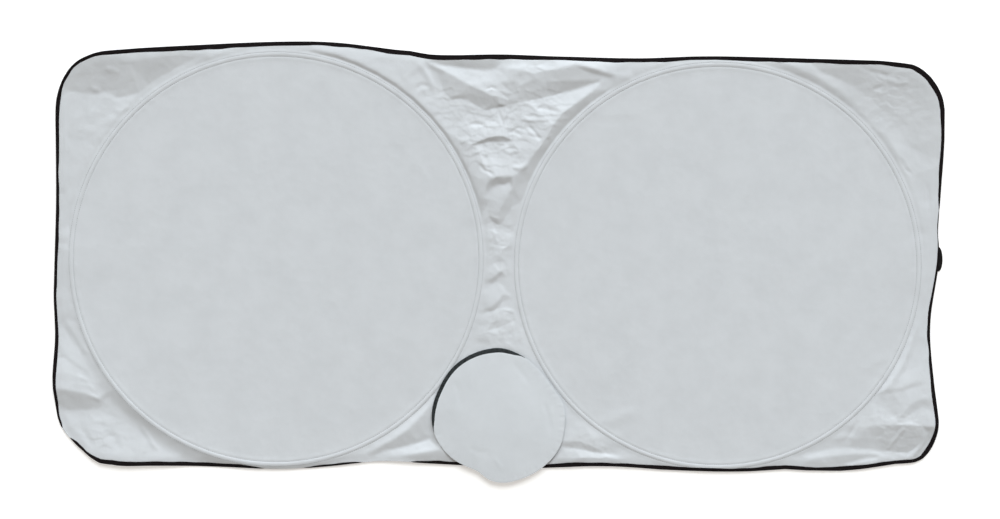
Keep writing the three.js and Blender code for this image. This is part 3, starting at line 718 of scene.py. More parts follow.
def nearest_plates(x, y, size, seed):
    """For each point, the two nearest of a scatter of centres: distance, centre and cell."""
    i, j = np.floor(x / size), np.floor(y / size)
    first = [np.full_like(x, np.inf)] + [np.zeros_like(x) for _ in range(4)]
    second = [value.copy() for value in first]
    for di in (-1, 0, 1):
        for dj in (-1, 0, 1):
            ci, cj = i + di, j + dj
            cx = (ci + 0.5 + 0.45 * lattice_value(ci, cj, seed)) * size
            cy = (cj + 0.5 + 0.45 * lattice_value(ci, cj, seed + 1)) * size
            found = [np.hypot(x - cx, y - cy), cx, cy, ci, cj]
            nearer = found[0] < first[0]
            middle = ~nearer & (found[0] < second[0])
            for k in range(5):
                second[k] = np.where(nearer, first[k], np.where(middle, found[k], second[k]))
                first[k] = np.where(nearer, found[k], first[k])
    return first, second


def plate_height(x, y, size, seed, tip):
    """Small flat facets, each tipped its own way, with creases between them."""
    bent_x = x + 0.35 * size * swirl(x, y, size * 1.3, seed + 11)
    bent_y = y * PLATE_SQUASH + 0.35 * size * swirl(x, y, size * 1.3, seed + 12)
    first, second = nearest_plates(bent_x, bent_y, size, seed)
    heights = []
    for _, cx, cy, ci, cj in (first, second):
        slope_x = 0.75 * PLATE_TIP * lattice_value(ci, cj, seed + 2)
        slope_y = 0.6 * PLATE_TIP * lattice_value(ci, cj, seed + 3) - 1.3 * PLATE_TIP * tip
        heights.append(slope_x * (bent_x - cx) + slope_y * (bent_y - cy) / PLATE_SQUASH)
    join = 0.5 + 0.5 * smooth(second[0] - first[0], 0, PLATE_JOIN)
    return heights[0] * join + heights[1] * (1 - join)


def small_facets(x, y):
    """The crumpled cloth's small facets, where it is crumpled."""
    tip = patch_share(x, y, TIPPED)
    strength = np.maximum(1.5 * crumple_share(x, y), np.abs(tip))
    uneven = 0.75 + 0.45 * swirl(x, y, 38, 64)
    lean = np.divide(tip, strength)
    large = plate_height(x, y, PLATE_SIZE, 71, lean)
    small = plate_height(x, y, PLATE_SIZE * 0.5, 91, 0.6 * lean)
    return strength * uneven * (large + 0.7 * small)


# Height of the sheet at distances from a ring's wire: on the disc's side, and outside
# where the sheet stands up beyond the seam or falls away from it.
INNER_PROFILE = [
    (0, 4.5), (1.2, 4.43), (2.4, 4.27), (3.6, 3.9), (4.8, 4.06),
    (6.5, 4.13), (8.5, 4.02), (11, 3.88), (14, 3.85),
]
STANDING_PROFILE = [
    (0, 4.5), (1.2, 4.48), (2.4, 4.42), (3.4, 4.1), (4.6, 4.26),
    (7.5, 3.98), (10, 4.2), (14, 4.5), (26, 4.3), (45, 4.1),
]
LEVEL_PROFILE = [
    (0, 4.5), (1.2, 4.46), (2.4, 4.33), (3.6, 3.82),
    (4.8, 3.96), (8, 3.74), (14, 3.8), (22, 3.9), (45, 3.8),
]
FALLING_PROFILE = [
    (0, 4.5), (1.2, 4.46), (2.4, 4.28), (4, 4.0), (6, 3.5),
    (8, 3.1), (12, 2.5), (18, 1.9), (26, 1.6), (45, 1.9),
]

# Where a ring stands off the ground: which ring, the angle in degrees, how many degrees
# the rise reaches to each side, and its height.
RING_RISES = [
    ("left", 236, 48, 1.9),
    ("left", 180, 9, 0.6),
    ("right", 0, 9, 0.6),
    ("right", 315, 25, 0.6),
]
RISE_INSIDE = 70
RISE_OUTSIDE = 22


def along_profile(profile, distance):
    """Height on a profile at distances from a ring's wire."""
    reach, height = zip(*profile)
    return np.interp(distance, reach, height)


def nearer_ring(x, y):
    """Centre of the nearer ring, for each point."""
    left, right = ring_offsets(x, y)
    (left_centre, _), (right_centre, _) = RINGS.values()
    return [np.where(left < right, *pair) for pair in zip(left_centre, right_centre)]


def base_height(x, y, offset):
    """The sheet without creases: discs as tight as a drum, and what runs out from them."""
    cx, cy = nearer_ring(x, y)
    upward = (y - cy) / np.maximum(np.hypot(x - cx, y - cy), 1)
    standing = smooth(upward, -0.35, 0.25)
    falling = smooth(-upward, 0.05, 0.4) * smooth(cx - x, -120, -40) * (cx < 0)
    inside = along_profile(INNER_PROFILE, -offset)
    stands = along_profile(STANDING_PROFILE, offset)
    level = along_profile(LEVEL_PROFILE, offset)
    falls = along_profile(FALLING_PROFILE, offset)
    outside = stands * standing + level * (1 - standing)
    height = np.where(offset < 0, inside, outside * (1 - falling) + falls * falling)
    turned = np.degrees(np.arctan2(y - cy, x - cx))
    fade = np.where(offset < 0, np.exp(offset / RISE_INSIDE), 1 - smooth(offset, 1.5, RISE_OUTSIDE))
    for side, angle, reach, rise in RING_RISES:
        away = np.abs((turned - angle + 180) % 360 - 180)
        height += (cx == RINGS[side][0][0]) * rise * (1 - smooth(away, 0.3 * reach, reach)) * fade
    return height


def seam_pucker(x, y, offset):
    """Small gathers that run out from the rings' seams."""
    cx, cy = nearer_ring(x, y)
    arc = np.arctan2(y - cy, x - cx) * RINGS["left"][1]
    wave = np.sin(arc / 3.1 + 2.2 * np.sin(arc / 17)) + 0.7 * np.sin(arc / 5.3 + 1.7 * np.sin(arc / 29))
    uneven = 0.5 + 0.5 * np.sin(arc / 41 + 1.3 * np.sin(arc / 97))
    outside = np.exp(-((offset - 6.5) / 4.5) ** 2)
    inside = 0.8 * np.exp(-((offset + 7.5) / 5.5) ** 2)
    return 0.12 * wave * uneven * (outside + inside)


# The sheet stays below POUCH_ROOF under the pouch. The limit rises by OPEN_ROOF between
# the two distances of ROOF_RISES from the pouch's centre. Below LEVELS_FROM the sheet
# levels off towards LEAST_HEIGHT. Its edge sags by up to EDGE_SAG, and keeps EDGE_HELD
# of the creases.
POUCH_ROOF = 6.6
ROOF_RISES = (100, 135)
OPEN_ROOF = 12
LEAST_HEIGHT = 0.9
LEVELS_FROM = 1.9
EDGE_SAG = 1.2
EDGE_HELD = 0.25


def disc_unevenness(x, y):
    """How far a disc is from flat."""
    small = 0.10 * facets(x, y, 58, 0.9, 8) + 0.035 * facets(x, y, 23, 0.1, 9)
    return 0.16 * swirl(x, y, 150, 5) + small


def sheet_height(x, y):
    """Height of the sheet's middle surface."""
    offset = ring_offset(x, y)
    loose = loose_share(offset)
    held = EDGE_HELD + (1 - EDGE_HELD) * smooth(edge_depth(x, y), 2, 16)
    on_disc = 1 - smooth(offset, -14, -5)
    height = np.zeros_like(x)
    for crease in CREASES:
        height += crease_height(x, y, *crease)
    height *= np.maximum(loose, on_disc)
    rough = crumple_share(x, y) * CRUMPLE_HEIGHT * crumple(x, y, CRUMPLE_CELL, 3)
    height += loose * (rough + small_facets(x, y))
    height *= held
    height += smooth(offset, 2.5, 6) * fold_height(x, y)
    height += on_disc * disc_unevenness(x, y)
    height += base_height(x, y, offset) - (1 - held) * loose * EDGE_SAG + seam_pucker(x, y, offset)
    by_pouch = smooth(np.hypot(x - POUCH_CENTRE[0], y - POUCH_CENTRE[1]), *ROOF_RISES)
    roof = POUCH_ROOF + OPEN_ROOF * by_pouch
    height = np.where(height > roof - 1, roof - np.exp(-(height - roof + 1)), height)
    room = LEVELS_FROM - LEAST_HEIGHT
    eased = LEAST_HEIGHT + room * np.exp((height - LEVELS_FROM) / room)
    return np.where(height < LEVELS_FROM, eased, height)


# Mesh helpers


def new_object(name, points, faces, material, smooth_shaded=True):
    """A mesh from points in millimetres."""
    mesh = bpy.data.meshes.new(name)
    places = np.asarray(points, float) * METRE
    mesh.from_pydata(places.tolist(), [], np.asarray(faces).tolist())
    mesh.update()
    if smooth_shaded:
        mesh.polygons.foreach_set("use_smooth", [True] * len(mesh.polygons))
    mesh.materials.append(material)
    made = bpy.data.objects.new(name, mesh)
    bpy.context.scene.collection.objects.link(made)
    return made


def new_piece(name, points, faces, material, node=None):
    """A piece of the part, which stands for a CAD node where one is named."""
    made = new_object(name, points, faces, material)
    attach(made, "root")
    if node:
        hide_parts(node)
    return made


def grid_faces(rows, columns, closed):
    """Quads of a grid of points, its rows closed into loops if asked."""
    row = np.arange(rows - 1)[:, None]
    column = np.arange(columns if closed else columns - 1)[None, :]
    after = (column + 1) % columns
    a = row * columns + column
    b = row * columns + after
    corners = np.stack([a, b, b + columns, a + columns], -1)
    return corners.reshape(-1, 4)


def hexagonal(low, high, step):
    """Points of a triangular pattern over a rectangle."""
    xs = np.arange(low[0], high[0], step)
    ys = np.arange(low[1], high[1], step * math.sqrt(0.75))
    gx, gy = np.meshgrid(xs, ys)
    gx = gx + (np.arange(len(ys)) % 2)[:, None] * step / 2
    return np.column_stack([gx.ravel(), gy.ravel()])


# Materials

# The silver coating's shine, and the pitch of the two weaves in metres.
CLOTH_ROUGHNESS = 0.62
CLOTH_METAL = 0.1
CLOTH_SPECULAR = 0.15
TAPE_SPECULAR = 0.08
CLOTH_PITCH = 0.0009
TAPE_PITCH = 0.0008


def add_node(tree, kind, values, links):
    """A shader node with some inputs set and some linked."""
    made = tree.nodes.new(kind)
    for name, value in values.items():
        made.inputs[name].default_value = value
    for name, output in links.items():
        tree.links.new(output, made.inputs[name])
    return made


def maths(tree, operation, first, second=None):
    """A Math node on outputs or numbers."""
    links = {0: first}
    values = {}
    if isinstance(second, float):
        values[1] = second
    elif second is not None:
        links[1] = second
    made = add_node(tree, "ShaderNodeMath", values, links)
    made.operation = operation
    return made.outputs[0]


def start_material(name, colour, roughness, metallic):
    """A plain material, its tree and its shader."""
    material = bpy.data.materials.new(name)
    material.use_nodes = True
    shader = material.node_tree.nodes["Principled BSDF"]
    shader.inputs["Base Color"].default_value = (*colour, 1)
    shader.inputs["Roughness"].default_value = roughness
    shader.inputs["Metallic"].default_value = metallic
    return material, material.node_tree, shader


def on_object(tree):
    """Place on the object, in metres."""
    return tree.nodes.new("ShaderNodeTexCoord").outputs["Object"]


def noise(tree, place, scale, detail=3.0, roughness=0.5):
    """Cloudy unevenness."""
    values = {"Scale": scale, "Detail": detail, "Roughness": roughness}
    return add_node(tree, "ShaderNodeTexNoise", values, {"Vector": place}).outputs["Fac"]


def weave(tree, place, pitch):
    """Plain weave: threads over and under each other, `pitch` metres apart."""
    split = add_node(tree, "ShaderNodeSeparateXYZ", {}, {0: place})
    waves = []
    for axis in ("X", "Y"):
        turn = maths(tree, "MULTIPLY", split.outputs[axis], 2 * math.pi / pitch)
        waves.append(maths(tree, "SINE", turn))
    return maths(tree, "MULTIPLY", *waves)


def bump(tree, shader, height, distance, strength, below=None):
    """Relief on the shader, over the relief below it if there is one."""
    links = {"Height": height}
    if below is not None:
        links["Normal"] = below
    made = add_node(tree, "ShaderNodeBump", {"Strength": strength, "Distance": distance}, links)
    tree.links.new(made.outputs["Normal"], shader.inputs["Normal"])
    return made.outputs["Normal"]


def tint(tree, shader, factor, dark, light):
    """Colour of the shader, from dark to light with the factor."""
    ramp = add_node(tree, "ShaderNodeValToRGB", {}, {"Fac": factor})
    for element, position, colour in zip(ramp.color_ramp.elements, (0.35, 0.65), (dark, light)):
        element.position = position
        element.color = (*colour, 1)
    tree.links.new(ramp.outputs["Color"], shader.inputs["Base Color"])


def wrinkles(tree, place, scale, shift):
    """Fine creases: the borders between cells of uneven size."""
    shifts = {"Location": (shift, shift * 0.7, 0)}
    moved = add_node(tree, "ShaderNodeMapping", shifts, {"Vector": place}).outputs["Vector"]
    cells = add_node(tree, "ShaderNodeTexVoronoi", {"Scale": scale}, {"Vector": moved})
    return cells.outputs["Distance"]


def silver_cloth(name, colour, crinkle=1.0):
    """Woven polyester with a silver coating on its face."""
    material, tree, shader = start_material(name, colour, CLOTH_ROUGHNESS, CLOTH_METAL)
    shader.inputs["Specular IOR Level"].default_value = CLOTH_SPECULAR
    place = on_object(tree)
    shade = [0.975 * c for c in colour]
    light = [1.02 * c for c in colour]
    tint(tree, shader, noise(tree, place, 22, 5, 0.6), shade, light)
    normal = bump(tree, shader, weave(tree, place, CLOTH_PITCH), 0.00005, 0.4)
    normal = bump(tree, shader, wrinkles(tree, place, 60, 0.3), 0.0010 * crinkle, 0.18, normal)
    bump(tree, shader, noise(tree, place, 160, 4, 0.6), 0.0005 * crinkle, 0.2, normal)
    return material


def tape_cloth(name, colour, roughness=0.8):
    """Ribbed woven tape."""
    material, tree, shader = start_material(name, colour, roughness, 0)
    shader.inputs["Specular IOR Level"].default_value = TAPE_SPECULAR
    place = on_object(tree)
    shade = [0.7 * c for c in colour]
    light = [1.35 * c for c in colour]
    tint(tree, shader, noise(tree, place, 300, 4), shade, light)
    normal = bump(tree, shader, weave(tree, place, TAPE_PITCH), 0.00012, 0.7)
    bump(tree, shader, noise(tree, place, 90, 3), 0.0006, 0.4, normal)
    return material


def steel(name):
    """Drawn wire."""
    material, tree, shader = start_material(name, (0.42, 0.42, 0.43), 0.35, 1)
    place = on_object(tree)
    tint(tree, shader, noise(tree, place, 400, 4), (0.33, 0.33, 0.34), (0.5, 0.5, 0.5))
    bump(tree, shader, noise(tree, place, 900, 2), 0.00005, 0.4)
    return material


SILVER = silver_cloth("silver cloth", (0.605, 0.631, 0.664))
POUCH_SILVER = silver_cloth("pouch cloth", (0.620, 0.652, 0.688), 0.5)
CASING = silver_cloth("casing tape", (0.52, 0.54, 0.56), 0.3)
BLACK = tape_cloth("black binding", (0.0065, 0.0045, 0.005))
MOUTH_BLACK = tape_cloth("mouth binding", (0.030, 0.034, 0.036))
ELASTIC = tape_cloth("black elastic", (0.011, 0.010, 0.010), 0.9)
# The thread is darker than plain grey thread, so that the rows of stitches also draw the dark lines of the
# seams: painted shade.
THREAD_AND_SEAM_SHADE = tape_cloth("grey thread and painted seam shade", (0.30, 0.31, 0.325), 0.6)
STEEL = steel("spring steel")


# The sheet

# How much of the tape shows from above: places on the edge in pixels of the photograph,
# anticlockwise, and the width in millimetres. It is nothing where the edge has rolled
# under.
TAPE_SHOWS = [
    ((940, 130), 4.8), ((943, 105), 7.4), ((932, 80), 8.2), ((905, 64), 7.2), ((880, 62), 6.0),
    ((840, 61), 7.0), ((815, 60), 6.0), ((790, 59), 6.6), ((740, 58), 6.6), ((715, 57), 5.0),
    ((690, 57), 5.4), ((665, 57), 6.8), ((640, 57), 5.6), ((615, 57), 6.8), ((590, 57), 6.0),
    ((565, 57), 5.2), ((540, 57), 6.4), ((503, 56), 7.6), ((465, 56), 7.4), ((430, 54), 7.4),
    ((390, 50), 7.2), ((365, 47), 5.2), ((340, 44), 6.2), ((315, 43), 5.4), ((290, 43), 6.2),
    ((240, 44), 6.8), ((215, 45), 8.0), ((165, 47), 7.2), ((115, 50), 6.2), ((80, 59), 4.4),
    ((62, 82), 4.4), ((58, 100), 6.4), ((57, 140), 5.4), ((57, 172), 3.8), ((56, 200), 4.8),
    ((55, 240), 5.2), ((54, 290), 4.2), ((55, 312), 4.0), ((57, 335), 5.6), ((54, 370), 5.4),
    ((56, 405), 4.2), ((61, 424), 2.4), ((64, 429), 0), ((70, 436), 0), ((76, 443), 4.0),
    ((86, 453), 3.4), ((97, 460), 6.0), ((115, 463), 6.8), ((190, 465), 6.0), ((240, 467), 5.0),
    ((262, 467), 1.0), ((272, 467), 0), ((300, 466), 0), ((315, 466), 2.4), ((340, 465), 3.2),
    ((356, 463), 2.0), ((366, 462), 0), ((408, 461), 0), ((418, 461), 2.8), ((440, 462), 4.8),
    ((470, 464), 4.0), ((540, 465), 5.0), ((565, 466), 6.6), ((615, 466), 5.0), ((665, 469), 6.0),
    ((715, 470), 4.8), ((740, 469), 4.6), ((775, 469), 6.4), ((815, 470), 4.8), ((840, 470), 6.8),
    ((865, 467), 6.0), ((890, 464), 5.6), ((912, 463), 5.0), ((930, 450), 6.8), ((938, 425), 5.6),
    ((933, 395), 5.6), ((931, 370), 4.8), ((931, 350), 3.2), ((929, 330), 4.6), ((931, 300), 3.8),
    ((937, 275), 3.2), ((937, 262), 2.0), ((937, 240), 1.2), ((937, 210), 1.0), ((940, 190), 4.0),
    ((942, 165), 5.6),
]


def tape_shows():
    """Width of black tape seen from above, along the edge."""
    shows = along_edge(TAPE_SHOWS)
    run = np.arange(len(edge)) * EDGE_STEP
    return shows + smooth(shows, 0, 2) * 0.3 * np.sin(run / 9 + 2 * np.sin(run / 37))


def ring_points():
    """Rings of points on both sides of each wire."""
    rows = sorted({sign * row for row in (0, *RING_ROWS) for sign in (-1, 1)})
    around = ahead_at(np.linspace(0, 2 * math.pi, RING_COLUMNS, endpoint=False))
    found = []
    for centre, radius in RINGS.values():
        for row in rows:
            points = centre + (radius + row) * around
            room = 2.5 if row < 5 else EDGE_ROWS[-1] + 1
            found.append(points[edge_depth(*points.T) > room])
    return np.vstack(found)


def edge_points():
    """Rows of points along the edge, and how far each lies under the tape (0 or 1)."""
    shows = tape_shows()
    found, under = [edge], [smooth(shows, 0.5, 2)]
    for row in EDGE_ROWS:
        points = edge + row * edge_inward
        keep = ring_offset(*points.T) > 5.2
        found.append(points[keep])
        under.append(smooth(shows - row, 0.3, 1.5)[keep])
    return np.vstack(found), np.concatenate(under)


def loose_points():
    """Points of the loose sheet, closer together where it is crumpled."""
    found = []
    for step, crumpled in ((FINE_STEP, True), (LOOSE_STEP, False)):
        points = hexagonal(edge.min(0), edge.max(0), step)
        from_rings = ring_offset(*points.T) > RING_ROWS[-1] + 1.6
        from_edge = edge_depth(*points.T) > EDGE_ROWS[-1] + 1.6
        points = points[from_rings & from_edge]
        tipped = 0.7 * np.abs(patch_share(*points.T, TIPPED))
        fine = np.maximum(crumple_share(*points.T), tipped) > FINE_FROM
        found.append(points[fine == crumpled])
    return np.vstack(found)


def disc_points():
    """Points of the two discs, away from their rings."""
    points = hexagonal(edge.min(0), edge.max(0), DISC_STEP)
    return points[ring_offset(*points.T) < -RING_ROWS[-1] - 3]


def make_sheet():
    """The one sheet of cloth, pressed down where the binding lies over it."""
    rows, under = edge_points()
    points = np.vstack([rows, ring_points(), loose_points(), disc_points()])
    under = np.concatenate([under, np.zeros(len(points) - len(rows))])
    flat, faces, origins = cut_sheet(points, len(edge))
    sunk = np.array([under[origin[0]] if origin else 0 for origin in origins])
    places = np.column_stack([flat, sheet_height(*flat.T) - TAPE_BED * sunk])
    return new_piece("silver_sheet", places, faces, SILVER, "shade_panel")


sheet = make_sheet()

# Binding

# The face of the tape: shares of the width that shows, and of the tape's thickness.
TAPE_FACE = ((1.0, 0.05), (0.97, 0.8), (0.85, 1), (0.7, 1), (0.55, 1), (0.4, 1), (0.25, 1), (0.1, 1))
TAPE_BACK = (0.12, 0.4, 0.7, 0.97, 1.0)


def make_binding():
    """The tape round the edge; its face sinks into the cloth where none shows."""
    shows = tape_shows()
    present = smooth(shows, 0.2, 1.4)
    out = TAPE_OUT * (2 * present - 1)
    lift = TAPE_LIFT * present - TAPE_SUNK * (1 - present)
    columns = [(shows * share, lift * rise) for share, rise in TAPE_FACE]
    for past, rise in ((0.55, 0.62 * TAPE_LIFT * present), (1.0, 0), (0.55, -0.62 * TAPE_LIFT)):
        columns.append((-past * out, rise))
    for share in TAPE_BACK:
        columns.append((np.full_like(out, TAPE_WIDTH * share), -TAPE_LIFT if share < 1 else -0.1))
    rows = []
    for depth, rise in columns:
        place = edge + depth[:, None] * edge_inward
        base = sheet_height(*(edge + np.maximum(depth, 0)[:, None] * edge_inward).T)
        rows.append(np.column_stack([place, np.maximum(base + rise, 0.15)]))
    faces = grid_faces(len(rows), len(edge), True)
    return new_piece("edge_tape", np.vstack(rows), faces, BLACK, "edge_binding")


binding = make_binding()

# Casing tapes, wires and ferrules keep their CAD shapes.
for side in RINGS:
    for name, material in (("casing", CASING), ("wire", STEEL), ("ferrule", STEEL)):
        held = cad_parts[f"{side}_ring_{name}"]
        held.data.materials.clear()
        held.data.materials.append(material)

# Pouch

# Its outline: angles in degrees and distances from its centre in pixels.
POUCH_RADII = [
    (4, 66.6), (11, 65.7), (25, 61.1), (35, 60.3), (48, 61.0), (67, 63.8),
    (88, 67.3), (106, 66.4), (129, 65.9), (155, 64.3), (179, 66.1), (196, 66.3),
    (214, 64.0), (226, 62.2), (237, 60.0), (248, 58.6), (254, 60.3), (260, 64.4),
    (267, 66.4), (275, 67.6), (293, 67.5), (319, 68.8), (334, 69.2), (352, 67.0),
]


def pouch_radius(angle):
    """Radius of the pouch's outline at an angle, its corners rounded off."""
    degrees, radii = zip(*POUCH_RADII)
    turned = np.degrees(np.asarray(angle))
    reach = np.array(radii) * MM_PER_PIXEL
    spread = np.linspace(-5, 5, 11)
    return np.mean([np.interp(turned + s, degrees, reach, period=360) for s in spread], axis=0)


def mouth_share(angle):
    """1 along the mouth, 0 where the front is sewn to the back."""
    share = np.clip((angle - MOUTH_FROM) / (MOUTH_TO - MOUTH_FROM), 0, 1)
    return np.clip(2.0 * np.sin(share * math.pi), 0, 1)


# Width of the dark strip between the lip and the back's edge, at angles in degrees.
CRESCENT = [
    (64, 0), (69, 1.2), (75, 4.6), (82, 6.3), (93, 7.3), (105, 6.5),
    (130, 6.1), (156, 6.0), (172, 6.0), (184, 4.6), (192, 1.2), (196, 0),
]


def crescent_width(angle):
    """Dark strip between the lip and the back's edge."""
    turned, width = zip(*CRESCENT)
    return np.interp(np.degrees(angle), turned, width)


def make_pouch_disc(name, edge_inset, height, node):
    """A round sheet, cut to the pouch's outline less `edge_inset`."""
    centre = np.array(POUCH_CENTRE)
    ahead = ahead_at(POUCH_ANGLES)
    rim = pouch_radius(POUCH_ANGLES) - edge_inset

    def from_rim(points):
        """Each point's angle, and its distance inwards from the rim."""
        away = points - centre
        turned = np.arctan2(away[:, 1], away[:, 0]) % (2 * math.pi)
        reach = np.interp(turned, POUCH_ANGLES, rim, period=2 * math.pi)
        return turned, reach - np.hypot(*away.T)

    rows = [centre + (rim - inset)[:, None] * ahead for inset in (0, *POUCH_ROWS)]
    inner = hexagonal(centre - rim.max(), centre + rim.max(), POUCH_STEP)
    inner = inner[from_rim(inner)[1] > POUCH_ROWS[-1] + 2]
    flat, faces, _ = cut_sheet(np.vstack([*rows, inner]), len(POUCH_ANGLES))
    turned, inside = from_rim(flat)
    places = np.column_stack([flat, height(turned, np.maximum(inside, 0), *flat.T)])
    return new_piece(name, places, faces, POUCH_SILVER, node)


# Creases of the pouch's front, given as the sheet's are.
POUCH_CREASES = [
    ([(455, 378), (459, 392), (463, 410)], -0.35, 4, 4),
    ([(476, 361), (471, 372), (469, 388)], 0.3, 3, 4),
    ([(512, 361), (519, 370), (532, 386)], -0.35, 4, 4),
    ([(543, 400), (549, 416), (551, 434)], -0.4, 3, 5),
    ([(492, 456), (498, 462), (503, 470)], 0.35, 3, 4),
    ([(468, 446), (480, 452), (490, 452)], -0.3, 4, 4),
]


def back_height(angles, inside, x, y):
    """Height of the pouch's back, its edge a little lower."""
    curl = 0.5 * smooth(inside, 0, 6)
    return POUCH_BACK_HEIGHT - 0.5 + curl + 0.35 * swirl(x, y, 60, 31)


def front_height(angles, inside, x, y):
    """Height of the pouch's front: sewn down round its edge and held up at the mouth."""
    lip = mouth_share(angles)
    lift = MOUTH_LIFT * lip
    shoulder = 1 - (1 - np.clip(inside / POUCH_SHOULDER, 0, 1)) ** 1.6
    rolled = POUCH_ROLL * np.sqrt(np.clip(inside / 2.2, 0, 1))
    rim = POUCH_BACK_HEIGHT + POUCH_SEAM_GAP + lift + rolled
    height = rim + (POUCH_RISE - POUCH_ROLL - lift) * shoulder
    uneven = 0.3 * swirl(x, y, 70, 41) + 0.16 * facets(x, y, 34, 0.6, 42)
    height = height + smooth(inside, 2, 16) * uneven
    for crease in POUCH_CREASES:
        height = height + crease_height(x, y, *crease)
    pinch = np.sin(angles * 47) * 0.5 + np.sin(angles * 81 + 1) * 0.5
    return height + 0.16 * pinch * (1 - lip) * np.exp(-(((inside - 4) / 5) ** 2))


pouch_back = make_pouch_disc("pouch_back_cloth", 0.0, back_height, "pouch_back")
pouch_front = make_pouch_disc(
    "pouch_front_cloth", crescent_width(POUCH_ANGLES), front_height, "pouch_front"
)

# Section of the mouth's tape, round the back's edge: shares of its width and heights.
MOUTH_SECTION = (
    (1.0, 0.1), (0.98, 0.4), (0.6, 0.5), (0.2, 0.5), (0.03, 0.35),
    (-0.03, 0), (0.03, -0.35), (0.4, -0.45), (0.9, -0.4),
)


def make_mouth_tape():
    """The dark tape that binds the back's edge along the mouth."""
    angles = np.linspace(MOUTH_FROM + 0.02, MOUTH_TO - 0.02, 170)
    rim = pouch_radius(angles)
    width = np.minimum(crescent_width(angles) + 3.0, 10.5)
    rows = []
    for share, rise in MOUTH_SECTION:
        distance = rim - width * share
        x = POUCH_CENTRE[0] + distance * np.cos(angles)
        y = POUCH_CENTRE[1] + distance * np.sin(angles)
        base = back_height(angles, rim - distance, x, y)
        rows.append(np.column_stack([x, y, base + rise]))
    faces = grid_faces(len(rows), len(angles), False)[:, ::-1]
    return new_piece(
        "pouch_mouth_tape", np.vstack(rows), faces, MOUTH_BLACK, "pouch_mouth_binding"
    )


mouth_tape = make_mouth_tape()

# Elastic loop

LOOP_LOW, LOOP_HIGH = (np.array(corner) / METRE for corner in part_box("elastic_loop"))
LOOP_WIDTH = 9.0
# Section of the band: how far in from its outer side, and height.
LOOP_SECTION = (
    (0, 0.1), (0, 1.0), (0.15, 1.25), (4.6, 1.3), (8.8, 1.25),
    (LOOP_WIDTH, 1.0), (LOOP_WIDTH, 0.1), (4.6, 0.05),
)


def make_loop():
    """A flat band of elastic, sewn under the edge at both ends and bowed outwards."""
    turn = np.linspace(-math.pi / 2, math.pi / 2, 40)
    mid_y = (LOOP_LOW[1] + LOOP_HIGH[1]) / 2
    half = (LOOP_HIGH[1] - LOOP_LOW[1]) / 2
    bow = LOOP_HIGH[0] - LOOP_LOW[0] - LOOP_WIDTH
    rows = []
    for inset, rise in LOOP_SECTION:
        x = LOOP_HIGH[0] - inset - bow * (1 - np.cos(turn) ** 0.8)
        y = mid_y + half * np.sin(turn) * (1 - 0.1 * inset / LOOP_WIDTH)
        rows.append(np.column_stack([x, y, np.full_like(x, rise)]))
    rows.append(rows[0])
    faces = grid_faces(len(rows), len(turn), False)
    return new_piece("elastic_loop_band", np.vstack(rows), faces, ELASTIC, "elastic_loop")


make_loop()

# Stitching, whose dark thread also paints the shade along the rings' seams

# A stitch's cross-sections: places along it, as shares of its length, and sizes.
STITCH_SECTIONS = ((-0.5, 0.35), (-0.3, 0.9), (0, 1.0), (0.3, 0.9), (0.5, 0.35))


def make_stitches(name, path):
    """A row of stitches on the sheet, along a closed path of points; their dark thread also paints the
    seam's shade.
    """
    loop = np.vstack([path, path[:1]])
    run = run_along(loop)
    count = int(run[-1] / STITCH_PITCH)
    middles = (np.arange(count) + 0.5) * run[-1] / count
    places = []
    for share, _ in STITCH_SECTIONS:
        places.append(stations_on(loop, run, (middles + share * STITCH_LENGTH) % run[-1]))
    ahead = places[-1] - places[0]
    ahead /= np.hypot(*ahead.T)[:, None]
    aside = np.column_stack([-ahead[:, 1], ahead[:, 0]])
    points = []
    for place, (_, size) in zip(places, STITCH_SECTIONS):
        base = sheet_height(*place.T) + STITCH_RISE
        for turn in np.arange(STITCH_SIDES) * 2 * math.pi / STITCH_SIDES:
            spread = STITCH_RADIUS * size * math.cos(turn)
            rise = STITCH_RADIUS * size * math.sin(turn)
            points.append(np.column_stack([place + spread * aside, base + rise]))
    points = np.stack(points, 1)
    tube = grid_faces(len(STITCH_SECTIONS), STITCH_SIDES, True)
    faces = (np.arange(count)[:, None, None] * points.shape[1] + tube).reshape(-1, 4)
    return new_piece(name, points.reshape(-1, 3), faces, THREAD_AND_SEAM_SHADE)


def circle(centre, radius):
    """Points round a circle."""
    return centre + radius * ahead_at(np.linspace(0, 2 * math.pi, SEAM_COLUMNS, endpoint=False))


for side, (centre, radius) in RINGS.items():
    for row, offset in (("outer", SEAM_OFFSET), ("inner", -SEAM_OFFSET)):
        make_stitches(f"{side}_{row}_stitching", circle(centre, radius + offset))

# Floor, light and camera


def seen_directly(tree):
    """1 for what the camera sees, also in a reflection or through glass, and 0 for light."""
    path = tree.nodes.new("ShaderNodeLightPath").outputs
    seen = maths(tree, "MAXIMUM", path["Is Camera Ray"], path["Is Glossy Ray"])
    return maths(tree, "MAXIMUM", seen, path["Is Transmission Ray"])


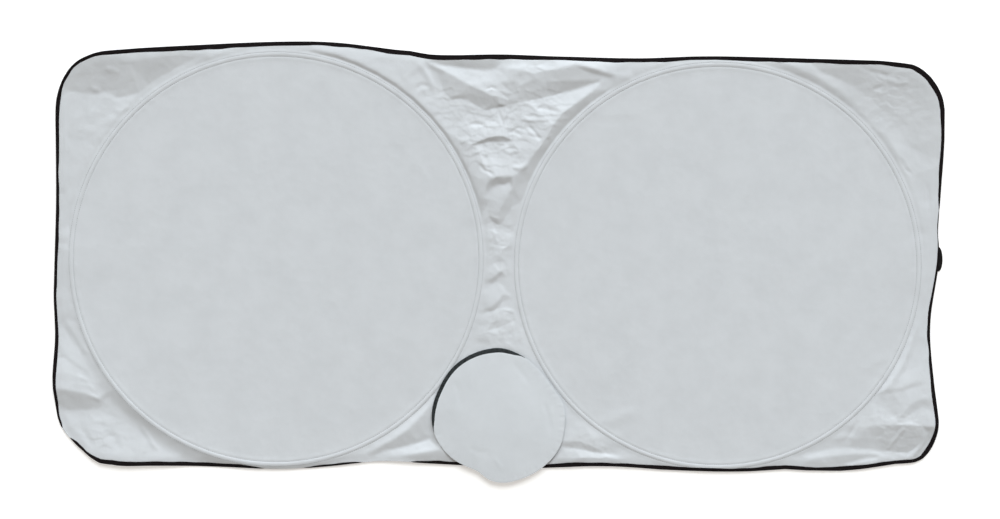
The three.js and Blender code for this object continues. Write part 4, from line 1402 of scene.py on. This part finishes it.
def make_floor():
    """A plain pale floor, which glows a little to the camera and keeps the shadow."""
    material, tree, shader = start_material("floor", FLOOR_COLOUR, FLOOR_ROUGHNESS, 0)
    weight = maths(tree, "MULTIPLY", seen_directly(tree), FLOOR_GLOW)
    glow = add_node(tree, "ShaderNodeEmission", {"Color": WHITE}, {"Strength": weight})
    both = add_node(tree, "ShaderNodeAddShader", {}, {0: shader.outputs[0], 1: glow.outputs[0]})
    tree.links.new(both.outputs[0], tree.nodes["Material Output"].inputs["Surface"])
    half = FLOOR_SIZE / 2
    corners = [(x * half, y * half, -FLOOR_DROP) for x, y in ((-1, -1), (1, -1), (1, 1), (-1, 1))]
    new_object("floor", corners, [(0, 1, 2, 3)], material, False)


make_floor()


def make_world():
    """White where it is seen directly, and a weak warm fill for the rest."""
    world = bpy.data.worlds.new("studio")
    bpy.context.scene.world = world
    world.use_nodes = True
    tree = world.node_tree
    fill = tree.nodes["Background"]
    fill.inputs["Color"].default_value = WORLD_COLOUR
    fill.inputs["Strength"].default_value = WORLD_STRENGTH
    white = add_node(tree, "ShaderNodeBackground", {"Color": WHITE, "Strength": 1}, {})
    mixed = {"Fac": seen_directly(tree), 1: fill.outputs[0], 2: white.outputs[0]}
    mix = add_node(tree, "ShaderNodeMixShader", {}, mixed)
    tree.links.new(mix.outputs[0], tree.nodes["World Output"].inputs["Surface"])


def make_light():
    """The lamp."""
    lamp = bpy.data.lights.new("key", "SUN")
    lamp.energy = KEY_STRENGTH
    lamp.angle = KEY_SPREAD
    lamp.color = KEY_COLOUR
    made = bpy.data.objects.new("key", lamp)
    reach = math.cos(KEY_ELEVATION)
    place = (reach * math.sin(KEY_TURN), reach * math.cos(KEY_TURN), math.sin(KEY_ELEVATION))
    made.location = place
    made.rotation_euler = (-Vector(place)).to_track_quat("-Z", "Y").to_euler()
    bpy.context.scene.collection.objects.link(made)


def make_camera():
    """The camera, straight above the photograph's middle."""
    x, y = at(PHOTO_SIZE[0] / 2, PHOTO_SIZE[1] / 2)
    lens = bpy.data.cameras.new("camera")
    lens.lens = CAMERA_LENS
    lens.sensor_width = CAMERA_SENSOR
    lens.clip_end = CAMERA_REACH
    camera = bpy.data.objects.new("camera", lens)
    camera.location = (x * METRE, y * METRE, CAMERA_HEIGHT * METRE)
    bpy.context.scene.collection.objects.link(camera)
    bpy.context.scene.camera = camera


make_world()
make_light()
make_camera()
bpy.context.scene.view_settings.view_transform = "Standard"
